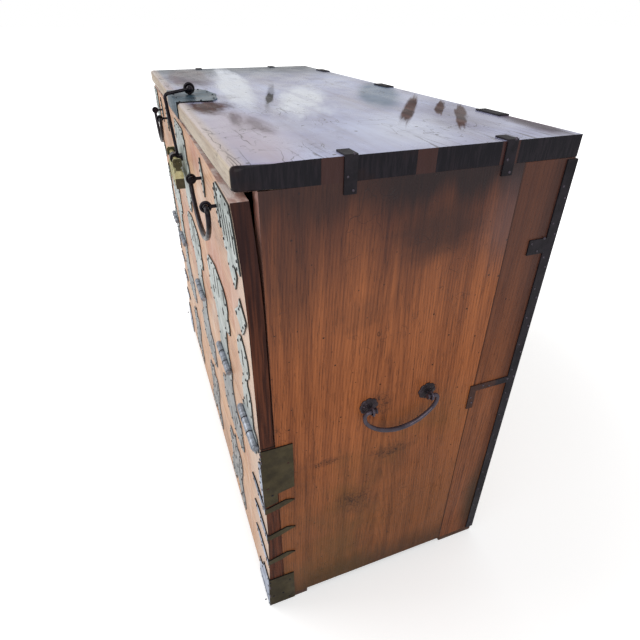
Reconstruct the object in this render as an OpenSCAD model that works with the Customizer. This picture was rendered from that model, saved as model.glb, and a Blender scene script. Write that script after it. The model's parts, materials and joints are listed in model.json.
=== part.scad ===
// Drop-front blanket chest of thick boards with forged iron fittings.
// The top is fixed. The upper half of the front is a flap on five barrel hinges,
// shut by a hasp that hangs from the top board and by a sliding-bolt padlock.
// Millimetres, +Z up. The front faces -Y. The origin lies on the floor, under the
// middle of everything the chest reaches.

/* [Case] */
// Width over the end boards
body_w = 1030; // [860:10:1200]
// Depth over the top board
body_d = 436; // [400:2:500]
// Height from the floor
body_h = 800; // [740:5:860]
// Height of the opening in the front, from the seam to the top board
opening_h = 361; // [343:2:377]
// Outward lean of the fixed front at its foot, below the long leaves
front_lean = 7; // [0:1:9]

/* [Boards] */
// Thickness of the top board
top_t = 27; // [22:1:32]
// Thickness of the end boards
end_t = 24; // [18:1:30]
// Thickness of the fixed front and of the flap
front_t = 22; // [18:1:28]
// Thickness of the back boards
back_t = 18; // [12:1:24]
// Thickness of the floor board
floor_t = 18; // [12:1:24]
// Height of the floor board's underside
floor_z = 30; // [20:2:60]
// Overhang of the top board in front of the fixed front
top_lip = 4; // [2:0.5:6]
// Width of the narrow back board of each end
narrow_w = 80; // [60:5:90]
// Height of the foot rails
rail_h = 12; // [8:1:18]
// Depth of the back foot rail
rail_d = 78; // [50:2:100]
// Depth of the front foot rail
front_rail_d = 65; // [50:1:90]
// Width of a finger of the joints at the top corners
finger_w = 25; // [15:1:35]
// Distance between two fingers
finger_pitch = 112; // [90:2:130]
// Number of fingers at each top corner
finger_count = 3; // [1:2:3]

/* [Flap] */
// Gap between the flap's upper edge and the top board
flap_gap = 8; // [6:1:14]
// Outward warp of the flap at its upper right corner
flap_cup = 7; // [2:1:12]
// Height above the seam where the warp starts
cup_start = 188; // [188:2:240]
// Gap between the flap's lower edge and the fixed front
seam_gap = 2; // [1:0.5:4]
// Play between the closed flap and the end boards
flap_play = 2.4; // [0.6:0.2:3]

/* [Hinges] */
// Width of a hinge over its knuckles
hinge_w = 88; // [76:2:92]
// Distance of the inner hinges from the ends
inner_hinge_in = 230; // [220:2:236]
// Distance of the outer hinges from the ends
outer_hinge_in = 52; // [50:1:58]
// Outer radius of the knuckles
knuckle_r = 5.5; // [5:0.25:7]
// Radius of the hinge pins
pin_r = 3; // [2:0.25:4]
// Length of the long leaves
long_leaf = 180; // [160:2:190]
// Length of the short leaves
short_leaf = 160; // [140:1:164]

/* [Iron fittings] */
// Thickness of the sheet iron plates
plate_t = 2; // [1.5:0.25:3]
// Distance of the lock from the middle of the front
lock_x = 20; // [0:5:40]
// Depth of the lock plate's middle under the top
lock_plate_under = 108; // [104:1:112]
// Width of the straps over the top board's ends
end_strap_w = 15; // [10:1:20]
// Width of the straps over the top board's back edge
back_strap_w = 55; // [40:5:70]
// Width of the bands along the back corners
band_w = 14; // [10:1:20]
// Height of a corner strap where it turns round the corner
corner_strap_h = 11; // [9:1:16]

/* [Hasp and padlock] */
// Radius of the hasp rod
hasp_r = 2.8; // [2:0.2:3.6]
// Depth of the padlock's bar under the top
bar_under = 103; // [98:1:108]
// Distance of the hasp's ring bolt from the front edge of the top
hasp_in = 32; // [26:1:38]
// Distance of the hasp's rod from the lock plate
hasp_stand = 11.5; // [10.5:0.5:15]
// Radius of the padlock's bar
bar_r = 4; // [3:0.25:4.5]
// Length of the padlock over its end plates
padlock_w = 104; // [90:2:120]
// Height of the padlock's case
case_h = 31; // [26:1:38]
// Depth of the padlock's case
case_d = 14; // [13:1:18]
// Distance of the padlock's case under the bar
case_hang = 14; // [12:1:18]

/* [Handles] */
// Distance between the ring bolts of an end handle
end_span = 98; // [80:2:120]
// Drop of an end handle's bail
end_drop = 50; // [44:1:60]
// Depth of the end handles' ring bolts under the top
end_handle_under = 359; // [320:1:400]
// Distance between the ring bolts of a flap handle
flap_span = 124; // [100:2:140]
// Drop of a flap handle's bail
flap_drop = 58; // [50:1:66]
// Depth of the flap handles' ring bolts under the top
flap_handle_under = 72; // [68:1:80]
// Distance of the right flap handle from the right end
flap_handle_in = 168; // [164:1:190]
// Distance of the left flap handle from the left end
left_flap_handle_in = 238; // [228:1:248]
// Radius of the bails
bail_r = 3.3; // [2.5:0.1:4]
// Distance of a ring bolt's eye from the plate under it
ring_stand = 13; // [11:0.5:16]

/* [Hidden] */
$fn = 48;

// Planes of the case
half_w = body_w / 2;
half_d = body_d / 2;
front_y = top_lip - half_d;
front_back_y = front_y + front_t;
inner_w = body_w - 2 * end_t;
top_z = body_h - top_t;
seam_z = top_z - opening_h;
narrow_y = half_d - narrow_w;
foot_y = front_y - front_lean;
lean_z = seam_z - long_leaf - 8;
function front_at(z) = front_y - front_lean * max(0, lean_z - z) / (lean_z - rail_h);

// Places of the iron on the front
lock_plate_w = 148;
lock_plate_h = 128;
lock_plate_z = body_h - lock_plate_under;
lock_plate_low_z = lock_plate_z - lock_plate_h / 2 - lock_plate_w / 4;
lock_scallop_r = 15;
bar_z = body_h - bar_under;
end_handle_z = body_h - end_handle_under;
flap_handle_z = body_h - flap_handle_under;
flap_handle_x = half_w - flap_handle_in;
left_flap_handle_x = left_flap_handle_in - half_w;

// Planes of the flap. Its upper right part is warped outward, the most at the corner.
flap_low_z = seam_z + seam_gap / 2;
flap_top_z = top_z - flap_gap;
flap_t = front_t - flap_play;
cup_z = seam_z + cup_start;
cup_x = lock_x + lock_plate_w / 2 + lock_scallop_r + 2;
warp_steps = 8;
function share(value, low, high) = max(0, (value - low) / (high - low));
function cup(x, z) =
    flap_cup * pow(share(x, cup_x, half_w), 1.5) * pow(share(z, cup_z, flap_top_z), 2);

// Hinge line and the order of the hinges from left to right
pin_play = 0.1;
knuckle_play = 0.5;
knuckle_count = 3;
knuckle_w = hinge_w / knuckle_count;
hinge_y = front_y - knuckle_r - 0.3;
inner_hinge_x = half_w - inner_hinge_in;
outer_hinge_x = half_w - outer_hinge_in;
hinge_x = [-outer_hinge_x, -inner_hinge_x, lock_x, inner_hinge_x, outer_hinge_x];
leaf_clearance = 12;
leaf_start = knuckle_r;
leaf_base_h = 12;
pin_head_t = 3.5;
pin_head_r = 4.5;

// Heights of the corner fittings, and the lengths of the five pairs of leaves
corner_plate_low = seam_z - 95;
corner_plate_high = seam_z - 3;
corner_neck_low = seam_z - 126;
bottom_plate_low = 3;
bottom_plate_high = 84;
strap_gap = 11;
low_strap_gap = 53;
strap_front_h = 18;
corner_strap_low = bottom_plate_high + low_strap_gap;
corner_strap_high = corner_neck_low - strap_gap;
stub_leaf = 48;
lower_leaf_len = [stub_leaf, long_leaf, long_leaf, long_leaf, stub_leaf];
upper_leaf_len = [short_leaf, long_leaf, lock_plate_low_z - leaf_clearance - seam_z, long_leaf, short_leaf];

// Ring bolts of the hasp and the handles
ring_tube_r = 1.9;
shank_r = 2.2;
shank_play = 0.2;
bail_play = 0.4;
ring_r = bail_r + bail_play + ring_tube_r;
washer_r = 15;
washer_rise = 4;
washer_rim = 0.8;
bail_head_t = 2;
bail_bend_r = 7;
bail_side_r = 28;
bail_mid_r = bail_r + 0.6;
pin_side = ring_tube_r + 3;
flap_ring_y = front_y - cup(flap_handle_x + flap_span / 2, flap_handle_z) - plate_t - ring_stand;

// Hasp: pivot on the top board, rod in front of the flap, eye between the lugs
hasp_pin_r = 5.2;
hasp_ring_tube_r = 2.2;
hasp_ring_r = hasp_pin_r + bail_play + hasp_ring_tube_r;
hasp_pivot_y = hasp_in - half_d;
hasp_pivot_z = body_h + plate_t + hasp_ring_r + hasp_ring_tube_r;
hasp_rod_y = front_y - plate_t - hasp_stand - hasp_r;
hasp_bend_r = 7;
rod_gap = 1.2;
hasp_top_z = body_h + plate_t + hasp_r + rod_gap;
hasp_ring_x = lock_x - hasp_r - hasp_ring_tube_r - 2;

// Padlock and the two lugs that it passes through
bar_play = 0.3;
bar_y = hasp_rod_y;
eye_r = 9;
eye_w = 8;
lug_t = 4;
lug_play = 0.5;
lug_x = eye_w / 2 + lug_play;
lug_h = 10;
case_top_z = bar_z - case_hang;
case_y = bar_y;
end_plate_t = 4;
tongue_r = 4.2;
tongue_len = 64;
tongue_z = case_top_z - case_h / 2;

// What stands out farthest at the front and at the back
front_reach = max(-flap_ring_y + ring_r + ring_tube_r, -case_y + case_d / 2 + 1, -bar_y + eye_r);
back_reach = half_d + plate_t;
centre_y = (front_reach - back_reach) / 2;

iron = [0.27, 0.28, 0.29];
bronze_iron = [0.33, 0.30, 0.22];
old_wood = [0.42, 0.19, 0.11];
top_wood = [0.35, 0.15, 0.10];
front_wood = [0.62, 0.34, 0.20];
brass = [0.75, 0.62, 0.32];

// Puts a piece, drawn round the middle of the case, into the part's frame
module place() {
    translate([0, centre_y, 0]) children();
}

// A flat outline of (x, z) points, thick towards the front
module on_front(y, t) {
    translate([0, y, 0]) rotate([90, 0, 0]) linear_extrude(t) children();
}

// The same on the leaning face below lean_z
module on_low_front(t) {
    translate([0, front_y, lean_z]) rotate([90 - atan(front_lean / (lean_z - rail_h)), 0, 0])
        linear_extrude(t) translate([0, -lean_z]) children();
}

// A flat outline of (y, z) points, thick along X from x0 to x1
module along_x(x0, x1) {
    translate([x0, 0, 0]) rotate([90, 0, 90]) linear_extrude(x1 - x0) children();
}

// A box between two corners
module block(low, high) {
    translate(low) cube(high - low);
}

// A round bar or bore along X, Y or Z from a start point
module round_x(start, length, r) {
    translate(start) rotate([0, 90, 0]) cylinder(h = length, r = r);
}

module round_y(start, length, r) {
    translate(start) rotate([-90, 0, 0]) cylinder(h = length, r = r);
}

module both_sides() {
    for (side = [0, 1]) mirror([side, 0, 0]) children();
}

// Boards of the case

top_corner_r = 8;
function finger_y(i) = (i - (finger_count - 1) / 2) * finger_pitch;

module fingers(grow) {
    for (i = [0:finger_count - 1])
        translate([half_w - end_t, finger_y(i) - finger_w / 2, top_z])
            cube([end_t + grow, finger_w, top_t + grow]);
}

// Outline of the top board, with worn round corners at the front
module top_outline() {
    r = top_corner_r;
    translate([-half_w, r - half_d]) square([body_w, body_d - r]);
    translate([r - half_w, -half_d]) square([body_w - 2 * r, 2 * r]);
    for (side = [-1, 1]) translate([side * (half_w - r), r - half_d]) circle(r);
}

module top_board() {
    color(top_wood) difference() {
        translate([0, 0, top_z]) linear_extrude(top_t) top_outline();
        both_sides() fingers(1);
        translate([hasp_ring_x, hasp_pivot_y, top_z - 1])
            cylinder(h = top_t + 2, r = shank_r + shank_play);
    }
}

module end_board() {
    color(old_wood) difference() {
        union() {
            block([half_w - end_t, front_back_y, rail_h], [half_w, narrow_y, top_z]);
            fingers(0);
        }
        handle_shank_holes();
    }
}

module handle_shank_holes() {
    for (side = [-1, 1])
        round_x([half_w - end_t - 1, side * end_span / 2, end_handle_z], end_t + 2, shank_r + shank_play);
}

module end_narrow_board() {
    color(old_wood) block([half_w - end_t, narrow_y, rail_h], [half_w, half_d, top_z]);
}

module back_board(low_z, high_z) {
    color(old_wood) block([-inner_w / 2, half_d - back_t, low_z], [inner_w / 2, half_d, high_z]);
}

back_seam_z = (rail_h + top_z) / 2;

module floor_board() {
    color(old_wood)
        block([-inner_w / 2, front_back_y, floor_z], [inner_w / 2, half_d - back_t, floor_z + floor_t]);
}

module fixed_front_board() {
    high_z = seam_z - seam_gap / 2;
    color(front_wood) along_x(-half_w, half_w) polygon([
        [foot_y, rail_h], [front_back_y, rail_h], [front_back_y, high_z], [front_y, high_z], [front_y, lean_z]
    ]);
}

module foot_rail(y, depth) {
    color(old_wood) block([-half_w, y, 0], [half_w, y + depth, rail_h]);
}

// Flap

// Slab that follows the flap's warped face, from depth "back" to height "front" over it
module flap_slab(back, front) {
    steps = [for (i = [0:warp_steps]) i / warp_steps];
    xs = concat([-half_w], [for (s = steps) cup_x + (half_w - cup_x) * s]);
    zs = concat([flap_low_z], [for (s = steps) cup_z + (flap_top_z - cup_z) * s]);
    nx = len(xs);
    nz = len(zs);
    side = nx * nz;
    points = [for (off = [front, back], z = zs, x = xs) [x, front_y - off - cup(x, z), z]];
    faces = [for (k = [0:nz - 2], i = [0:nx - 2]) let (a = k * nx + i, b = a + nx, c = side + a, d = side + b)
        each [[a, b, b + 1], [a, b + 1, a + 1], [c, d + 1, d], [c, c + 1, d + 1]]];
    low = [for (i = [0:nx - 1]) i];
    high = [for (i = [nx - 1:-1:0]) side - nx + i];
    right = [for (k = [1:nz - 2]) k * nx + nx - 1];
    left = [for (k = [nz - 2:-1:1]) k * nx];
    rim = concat(low, right, high, left);
    edge = [for (n = [0:len(rim) - 1]) let (a = rim[n], b = rim[(n + 1) % len(rim)])
        each [[a, b, side + b], [a, side + b, side + a]]];
    polyhedron(points, concat(faces, edge));
}

module flap_board() {
    color(front_wood) difference() {
        flap_slab(-flap_t, 0);
        flap_shank_holes();
        lug_slots();
    }
}

// Iron sheet that follows the warped face inside an outline of (x, z) points
module flap_sheet() {
    intersection() {
        flap_slab(0, plate_t);
        on_front(front_y + 1, flap_cup + plate_t + 2) children();
    }
}

function flap_ring_x() = [
    for (middle = [left_flap_handle_x, flap_handle_x], end = [-1, 1]) middle + end * flap_span / 2
];

module flap_shank_holes() {
    depth = ring_stand + plate_t + flap_cup + front_t;
    for (x = flap_ring_x()) round_y([x, flap_ring_y, flap_handle_z], depth, shank_r + shank_play);
}

// Hinges

module knuckle(x0, x1) {
    round_x([x0, hinge_y, seam_z], x1 - x0, knuckle_r);
}

function knuckle_span(k, play) =
    [k * knuckle_w - hinge_w / 2 + play, (k + 1) * knuckle_w - hinge_w / 2 - play];

// Right half of a leaf, from the hinge line up: a waisted shank and a broad head
function long_side(length) = [
    [hinge_w / 2, leaf_start], [hinge_w / 2, leaf_start + leaf_base_h],
    [hinge_w * 0.43, leaf_start + leaf_base_h * 1.5], [hinge_w * 0.39, leaf_start + 40],
    [hinge_w * 0.45, length - 108], [hinge_w * 0.53, length - 94],
    [head_w * 0.47, length - 84], [head_w / 2, length - 66], [head_w * 0.46, length - 52],
    [head_w / 2, length - 38], [head_w * 0.48, length - 20], [head_w * 0.38, length - 10],
    [head_w * 0.17, length - 4]
];

// The same for an outer hinge: two lobes with a neck between them
function short_side(length) = [
    [hinge_w / 2, leaf_start], [hinge_w / 2, leaf_start + leaf_base_h * 0.7],
    [lobe_w / 2, leaf_start + leaf_base_h], [lobe_w / 2, length * 0.4],
    [lobe_w * 0.38, length * 0.49], [neck_w / 2, length * 0.53],
    [neck_w / 2, length * 0.6], [lobe_w / 2, length * 0.67], [small_head_w / 2, length * 0.76],
    [small_head_w * 0.46, length * 0.86], [small_head_w * 0.25, length * 0.95]
];

// The short stub under an outer hinge
function stub_side(length) = [
    [hinge_w / 2, leaf_start], [hinge_w / 2, leaf_start + leaf_base_h * 0.7],
    [lobe_w / 2, leaf_start + leaf_base_h], [lobe_w / 2, length * 0.7], [lobe_w * 0.3, length * 0.9]
];
head_w = 170;
small_head_w = 64;
lobe_w = 52;
neck_w = 24;

module leaf_outline(side, length) {
    polygon(concat([for (i = [len(side) - 1:-1:0]) [-side[i][0], side[i][1]]], side, [[0, length]]));
}

slit_w = 7;

// Broad leaf with two long slits, two short ones and two round holes
module long_leaf_outline(length) {
    difference() {
        leaf_outline(long_side(length), length);
        for (turn = [-1, 1]) {
            translate([turn * 15 - slit_w / 2, length - 50]) square([slit_w, 38]);
            translate([turn * 64 - slit_w / 2, length - 38]) square([slit_w, 22]);
            translate([turn * 40, length - 62]) circle(slit_w, $fn = 24);
        }
    }
}

// Small leaf with a slit in each lobe
module short_leaf_outline(length) {
    difference() {
        leaf_outline(short_side(length), length);
        translate([-slit_w / 2, length * 0.7]) square([slit_w, length * 0.16]);
        translate([-slit_w / 2, length * 0.22]) square([slit_w, length * 0.16]);
    }
}

// Whole sheet of one leaf: the outline and the strips that run into its own knuckles
module leaf_sheet(length, knuckles, play) {
    if (length == stub_leaf) leaf_outline(stub_side(length), length);
    else if (length == short_leaf) short_leaf_outline(length);
    else long_leaf_outline(length);
    for (k = knuckles) let (span = knuckle_span(k, play))
        translate([span[0], 0]) square([span[1] - span[0], leaf_start + 1]);
}

module lower_leaf(i) {
    color(iron) translate([hinge_x[i], 0, 0]) difference() {
        union() {
            for (k = [0:2:knuckle_count - 1]) knuckle(knuckle_span(k, 0)[0], knuckle_span(k, 0)[1]);
            on_front(front_y, plate_t) translate([0, seam_z]) mirror([0, 1])
                leaf_sheet(lower_leaf_len[i], [0:2:knuckle_count - 1], 0);
        }
        round_x([-hinge_w, hinge_y, seam_z], 2 * hinge_w, pin_r + pin_play);
    }
}

module upper_leaf(i) {
    color(iron) translate([hinge_x[i], 0, 0]) difference() {
        union() {
            for (k = [1:2:knuckle_count - 2])
                knuckle(knuckle_span(k, knuckle_play)[0], knuckle_span(k, knuckle_play)[1]);
            on_front(front_y, plate_t) translate([0, seam_z])
                leaf_sheet(upper_leaf_len[i], [1:2:knuckle_count - 2], knuckle_play);
        }
        round_x([-hinge_w, hinge_y, seam_z], 2 * hinge_w, pin_r + pin_play);
    }
}

module hinge_pins() {
    color(iron) for (x = hinge_x) {
        round_x([x - hinge_w / 2 - pin_play, hinge_y, seam_z], hinge_w + 2 * pin_play, pin_r);
        for (side = [0, 1]) translate([x, 0, 0]) mirror([side, 0, 0])
            round_x([hinge_w / 2 + pin_play, hinge_y, seam_z], pin_head_t, pin_head_r);
    }
}

// Corner fittings of the fixed front, drawn at the right

// Angle iron at height z: an end outline of (y, z) points, joined round the edge to a front
// outline of (x, z) points
module corner_angle(z) {
    along_x(half_w, half_w + plate_t) children(0);
    if (z < lean_z) on_low_front(plate_t) children(1);
    else on_front(front_y, plate_t) children(1);
}

corner_x = half_w + plate_t;
corner_plate_d = 48;
corner_neck_d = 21;
corner_front_w = 18;
corner_front_high = seam_z - 28;
function corner_y(z) = front_at(z) - plate_t / 2;

module corner_plate() {
    edge_y = corner_y(seam_z);
    color(bronze_iron) corner_angle(seam_z) {
        polygon([
            [corner_y(corner_neck_low), corner_neck_low], [edge_y + corner_neck_d, corner_neck_low + 6],
            [edge_y + corner_neck_d, corner_plate_low - 6],
            [edge_y + corner_plate_d, corner_plate_low], [edge_y + corner_plate_d, corner_plate_high],
            [corner_y(corner_plate_high), corner_plate_high]
        ]);
        polygon([
            [corner_x, corner_neck_low], [corner_x, corner_front_high],
            [corner_x - corner_front_w, corner_front_high - 12], [corner_x - corner_front_w, corner_plate_low]
        ]);
    }
}

// Straps round the corner below the plate: on the end a tongue that rises to a point,
// on the front a long straight point
strap_end_len = 48;
strap_end_rise = 10;
strap_front_len = 84;
strap_point_len = 24;
module corner_straps() {
    h = corner_strap_h / 2;
    color(bronze_iron) for (i = [0:2]) {
        z = corner_strap_low + i * (corner_strap_high - corner_strap_low) / 2;
        y = corner_y(z);
        tip_z = z + strap_end_rise;
        corner_angle(z) {
            polygon([
                [corner_y(z - h), z - h], [y + strap_end_len * 0.45, z - h + 5],
                [y + strap_end_len * 0.75, tip_z - h + 1], [y + strap_end_len, tip_z],
                [y + strap_end_len * 0.86, tip_z + h - 2], [y + strap_end_len * 0.7, tip_z + h],
                [y + strap_end_len * 0.38, tip_z + 1], [corner_y(z + h), z + h]
            ]);
            translate([corner_x, z]) polygon([
                [0, -h], [0, h], [-strap_point_len, strap_front_h / 2],
                [strap_point_len - strap_front_len, strap_front_h / 2], [-strap_front_len, 0],
                [strap_point_len - strap_front_len, -strap_front_h / 2],
                [-strap_point_len, -strap_front_h / 2]
            ]);
        }
    }
}

bottom_plate_d = 45;
bottom_front_w = 70;

module bottom_corner_plate() {
    plate_back_y = corner_y(bottom_plate_high) + bottom_plate_d;
    color(bronze_iron) corner_angle(bottom_plate_low) {
        polygon([
            [corner_y(bottom_plate_low), bottom_plate_low], [plate_back_y, bottom_plate_low],
            [plate_back_y, bottom_plate_high], [corner_y(bottom_plate_high), bottom_plate_high]
        ]);
        difference() {
            translate([corner_x - bottom_front_w, bottom_plate_low])
                square([bottom_front_w, bottom_plate_high - bottom_plate_low]);
            translate([corner_x - bottom_front_w, bottom_plate_high]) circle(bottom_front_w * 0.45);
        }
    }
}

// Three pierced ornaments on the fixed front, between the long leaves and the floor
ornament_room = seam_z - long_leaf;
ornament_z = ornament_room / 2 + 6;
ornament_h = ornament_room - 70;
ornament_w = 118;
ornament_x = inner_hinge_x - 18;

module ornament_outline() {
    side = [for (p = [
        [0.07, 0.41], [0.16, 0.35], [0.3, 0.38], [0.44, 0.35], [0.5, 0.25], [0.48, 0.12], [0.4, 0],
        [0.37, -0.12], [0.44, -0.22], [0.54, -0.32], [0.54, -0.5], [0.2, -0.5], [0.18, -0.42], [0.1, -0.34]
    ]) [p[0] * ornament_w, p[1] * ornament_h]];
    n = len(side) - 1;
    difference() {
        polygon(concat(
            [for (i = [0:n]) [-side[i][0], side[i][1]]],
            [[0, -0.3 * ornament_h]],
            [for (i = [n:-1:0]) side[i]],
            [[0, 0.5 * ornament_h]]
        ));
        for (turn = [-1, 1]) {
            translate([turn * ornament_w * 0.32, ornament_h * 0.24]) circle(8, $fn = 24);
            translate([turn * ornament_w * 0.34, -ornament_h * 0.36]) circle(8, $fn = 24);
            translate([turn * ornament_w * 0.24 - slit_w / 2, -ornament_h * 0.1])
                square([slit_w, ornament_h * 0.26]);
        }
        for (angle = [0:90:270]) rotate(angle) translate([13, 0]) circle(5, $fn = 24);
        translate([-slit_w / 2, ornament_h * 0.17]) square([slit_w, ornament_h * 0.15]);
    }
}

module front_ornaments() {
    color(iron) for (x = [-ornament_x, lock_x, ornament_x])
        on_low_front(plate_t) translate([x, ornament_z]) ornament_outline();
}

// Fittings of the back corners and of the top board

module back_band() {
    color(bronze_iron) {
        block([half_w, half_d - band_w, rail_h + 2], [half_w + plate_t, half_d + plate_t, top_z - 2]);
        block([half_w - band_w, half_d, rail_h + 2], [half_w + plate_t, half_d + plate_t, top_z - 2]);
    }
}

upper_strap_under = 144;
upper_strap_z = body_h - upper_strap_under;
upper_strap_h = 22;
upper_strap_d = 42;
lower_strap_z = seam_z + 6;
lower_strap_h = 12;
hook_w = 12;
hook_drop = 36;

module back_straps() {
    edge_y = half_d - band_w;
    hook_y = narrow_y - hook_w / 2;
    color(bronze_iron) along_x(half_w, half_w + plate_t) {
        translate([half_d - upper_strap_d, upper_strap_z - upper_strap_h / 2])
            square([upper_strap_d - band_w, upper_strap_h]);
        translate([hook_y, lower_strap_z - lower_strap_h / 2]) square([edge_y - hook_y, lower_strap_h]);
        translate([hook_y, lower_strap_z - lower_strap_h / 2 - hook_drop]) square([hook_w, hook_drop + 1]);
    }
}

// Strap bent over an edge of the top board: it lies on the top and hangs down outside
module over_edge(width, on_top, down) {
    translate([-on_top, -width / 2, body_h]) cube([on_top + plate_t, width, plate_t]);
    translate([0, -width / 2, body_h - down]) cube([plate_t, width, down + plate_t]);
}

top_strap_on = 22;
top_strap_down = 40;
top_strap_y = [finger_y(0) + finger_w / 2 + end_strap_w / 2, finger_y(finger_count - 1)];

module top_straps() {
    color(iron) for (y = top_strap_y)
        translate([half_w, y, 0]) over_edge(end_strap_w, top_strap_on, top_strap_down);
}

back_top_strap_in = 165;
back_strap_on = 16;
back_strap_down = 60;

module back_top_straps() {
    color(iron) for (i = [-1:1])
        translate([i * (half_w - back_top_strap_in), half_d, 0]) rotate(90)
            over_edge(back_strap_w, back_strap_on, back_strap_down);
}

// Hasp plate: bluntly pointed on the top board, with a lip over the board's front edge
hasp_plate_w = 156;
hasp_plate_d = 58;
hasp_plate_tip = 20;
hasp_lip_h = 24;

module hasp_plate() {
    back_y = hasp_plate_d - half_d;
    w = hasp_plate_w / 2;
    tip = hasp_plate_tip;
    color(iron) difference() {
        union() {
            translate([lock_x, 0, body_h]) linear_extrude(plate_t) polygon([
                [-w, -half_d - plate_t], [w, -half_d - plate_t], [w, back_y],
                [w * 0.72, back_y + tip * 0.6], [w * 0.3, back_y + tip * 0.75], [0, back_y + tip],
                [-w * 0.3, back_y + tip * 0.75], [-w * 0.72, back_y + tip * 0.6], [-w, back_y]
            ]);
            block([lock_x - hasp_plate_w / 2, -half_d - plate_t, body_h - hasp_lip_h],
                  [lock_x + hasp_plate_w / 2, -half_d, body_h + plate_t]);
        }
        translate([hasp_ring_x, hasp_pivot_y, body_h - 1])
            cylinder(h = plate_t + 2, r = shank_r + shank_play);
    }
}

// Ring bolt with its eye's bore along Y and its shank along -Z, from the eye's centre
module ring_bolt(eye, tube, shank_len) {
    rotate([90, 0, 0]) rotate_extrude() translate([eye, 0]) circle(tube, $fn = 24);
    translate([0, 0, -shank_len]) cylinder(h = shank_len - eye, r = shank_r);
}

module hasp_ring_bolt() {
    color(iron) translate([hasp_ring_x, hasp_pivot_y, hasp_pivot_z]) rotate(90)
        ring_bolt(hasp_ring_r, hasp_ring_tube_r, hasp_pivot_z - top_z);
}

// Round bar along straight stretches in the YZ plane at x, with joints that swell a little
joint_swell = 0.3;
module rod_yz(x, points, r) {
    for (i = [0:len(points) - 2]) {
        from = points[i];
        step = points[i + 1] - from;
        translate([x, from[0], from[1]]) {
            rotate([atan2(-step[0], step[1]), 0, 0]) cylinder(h = norm(step), r = r);
            sphere(r + joint_swell);
        }
    }
}

module hasp() {
    bend = [hasp_rod_y + hasp_bend_r, hasp_top_z - hasp_bend_r];
    rod_low = [bar_y + eye_r - hasp_r + joint_swell, bar_z + 2 * hasp_r];
    pin_start = hasp_ring_x - hasp_ring_tube_r - 2;
    color(iron) difference() {
        union() {
            round_x([pin_start, hasp_pivot_y, hasp_pivot_z], lock_x - pin_start, hasp_pin_r);
            round_x([pin_start - 2, hasp_pivot_y, hasp_pivot_z], 2, hasp_ring_r - hasp_ring_tube_r + 1.5);
            translate([lock_x, hasp_pivot_y, hasp_pivot_z]) sphere(hasp_pin_r + joint_swell);
            rod_yz(lock_x, [[hasp_pivot_y, hasp_pivot_z], [bend[0], hasp_top_z]], hasp_r);
            translate([lock_x, bend[0], hasp_top_z]) sphere(hasp_r + joint_swell);
            translate([lock_x, bend[0], bend[1]]) rotate([0, 0, 90]) rotate([90, 0, 0])
                rotate([0, 0, 90]) rotate_extrude(angle = 90) translate([hasp_bend_r, 0]) circle(hasp_r);
            rod_yz(lock_x, [[hasp_rod_y, bend[1]], rod_low], hasp_r);
            round_x([lock_x - eye_w / 2, bar_y, bar_z], eye_w, eye_r);
        }
        round_x([lock_x - eye_w, bar_y, bar_z], 2 * eye_w, bar_r + 2 * bar_play);
    }
}

// Lock plate and staple lugs of the flap

module lock_plate_outline() {
    difference() {
        union() {
            square([lock_plate_w, lock_plate_h], center = true);
            for (side = [-1, 1]) translate([side * lock_plate_w / 2, 0]) circle(lock_scallop_r);
            translate([0, -lock_plate_h / 2]) circle(lock_plate_w / 4);
        }
        for (side = [-1, 1], end = [-1, 1]) translate([side * lock_plate_w / 2, end * lock_plate_h / 2])
            circle(lock_scallop_r);
        for (side = [-1, 1], end = [-1, 1])
            translate([side * (lock_plate_w / 2 - 20), end * (lock_plate_h / 2 - 30)]) circle(6, $fn = 24);
    }
}

module lock_plate() {
    color(iron) difference() {
        on_front(front_y, plate_t) translate([lock_x, lock_plate_z]) lock_plate_outline();
        lug_slots();
    }
}

module lug_body(play) {
    x0 = lug_x - play;
    x1 = lug_x + lug_t + play;
    for (side = [0, 1]) translate([lock_x, 0, 0]) mirror([side, 0, 0])
        block([x0, bar_y, bar_z - lug_h / 2 - play],
              [x1, front_y + flap_t - play, bar_z + lug_h / 2 + play]);
}

module lug_slots() {
    translate([0, 1, 0]) lug_body(shank_play);
}

module lock_staple() {
    color(iron) difference() {
        union() {
            lug_body(0);
            for (side = [0, 1]) translate([lock_x, 0, 0]) mirror([side, 0, 0])
                round_x([lug_x, bar_y, bar_z], lug_t, eye_r);
        }
        round_x([lock_x - padlock_w, bar_y, bar_z], 2 * padlock_w, bar_r + bar_play);
    }
}

// Padlock: case with its fixed end plate, and the bolt that slides out with the other

half_lock = padlock_w / 2;
padlock_x = lock_x - 5;

// End plate: a head round the bar, a waist and a foot over the case's section
module end_plate_outline() {
    head = 8;
    cut = 2.5;
    foot_d = case_d / 2 + 1;
    waist = 4.5;
    side = [
        [head - cut, bar_z + head], [head, bar_z + head - cut],
        [head, bar_z - head + cut], [waist, bar_z - head],
        [waist, case_top_z - 1], [foot_d, case_top_z - 1 - cut], [foot_d, case_top_z - case_h - 1]
    ];
    polygon(concat(
        [for (p = side) [bar_y + p[0], p[1]]],
        [for (i = [len(side) - 1:-1:0]) [bar_y - side[i][0], side[i][1]]]
    ));
}

module padlock_case() {
    color(brass) difference() {
        union() {
            block([padlock_x - half_lock + end_plate_t + bar_play, case_y - case_d / 2, case_top_z - case_h],
                  [padlock_x + half_lock - 1, case_y + case_d / 2, case_top_z]);
            along_x(padlock_x + half_lock - end_plate_t, padlock_x + half_lock) end_plate_outline();
        }
        round_x([padlock_x, bar_y, bar_z], half_lock + 1, bar_r + bar_play);
        round_x([padlock_x - half_lock, case_y, tongue_z], end_plate_t + tongue_len + 2, tongue_r + bar_play);
    }
}

module padlock_bolt() {
    color(brass) {
        along_x(padlock_x - half_lock, padlock_x - half_lock + end_plate_t) end_plate_outline();
        round_x([padlock_x - half_lock + 1, bar_y, bar_z], padlock_w + 1, bar_r);
        round_x([padlock_x - half_lock + 1, case_y, tongue_z], tongue_len, tongue_r);
    }
}

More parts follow.
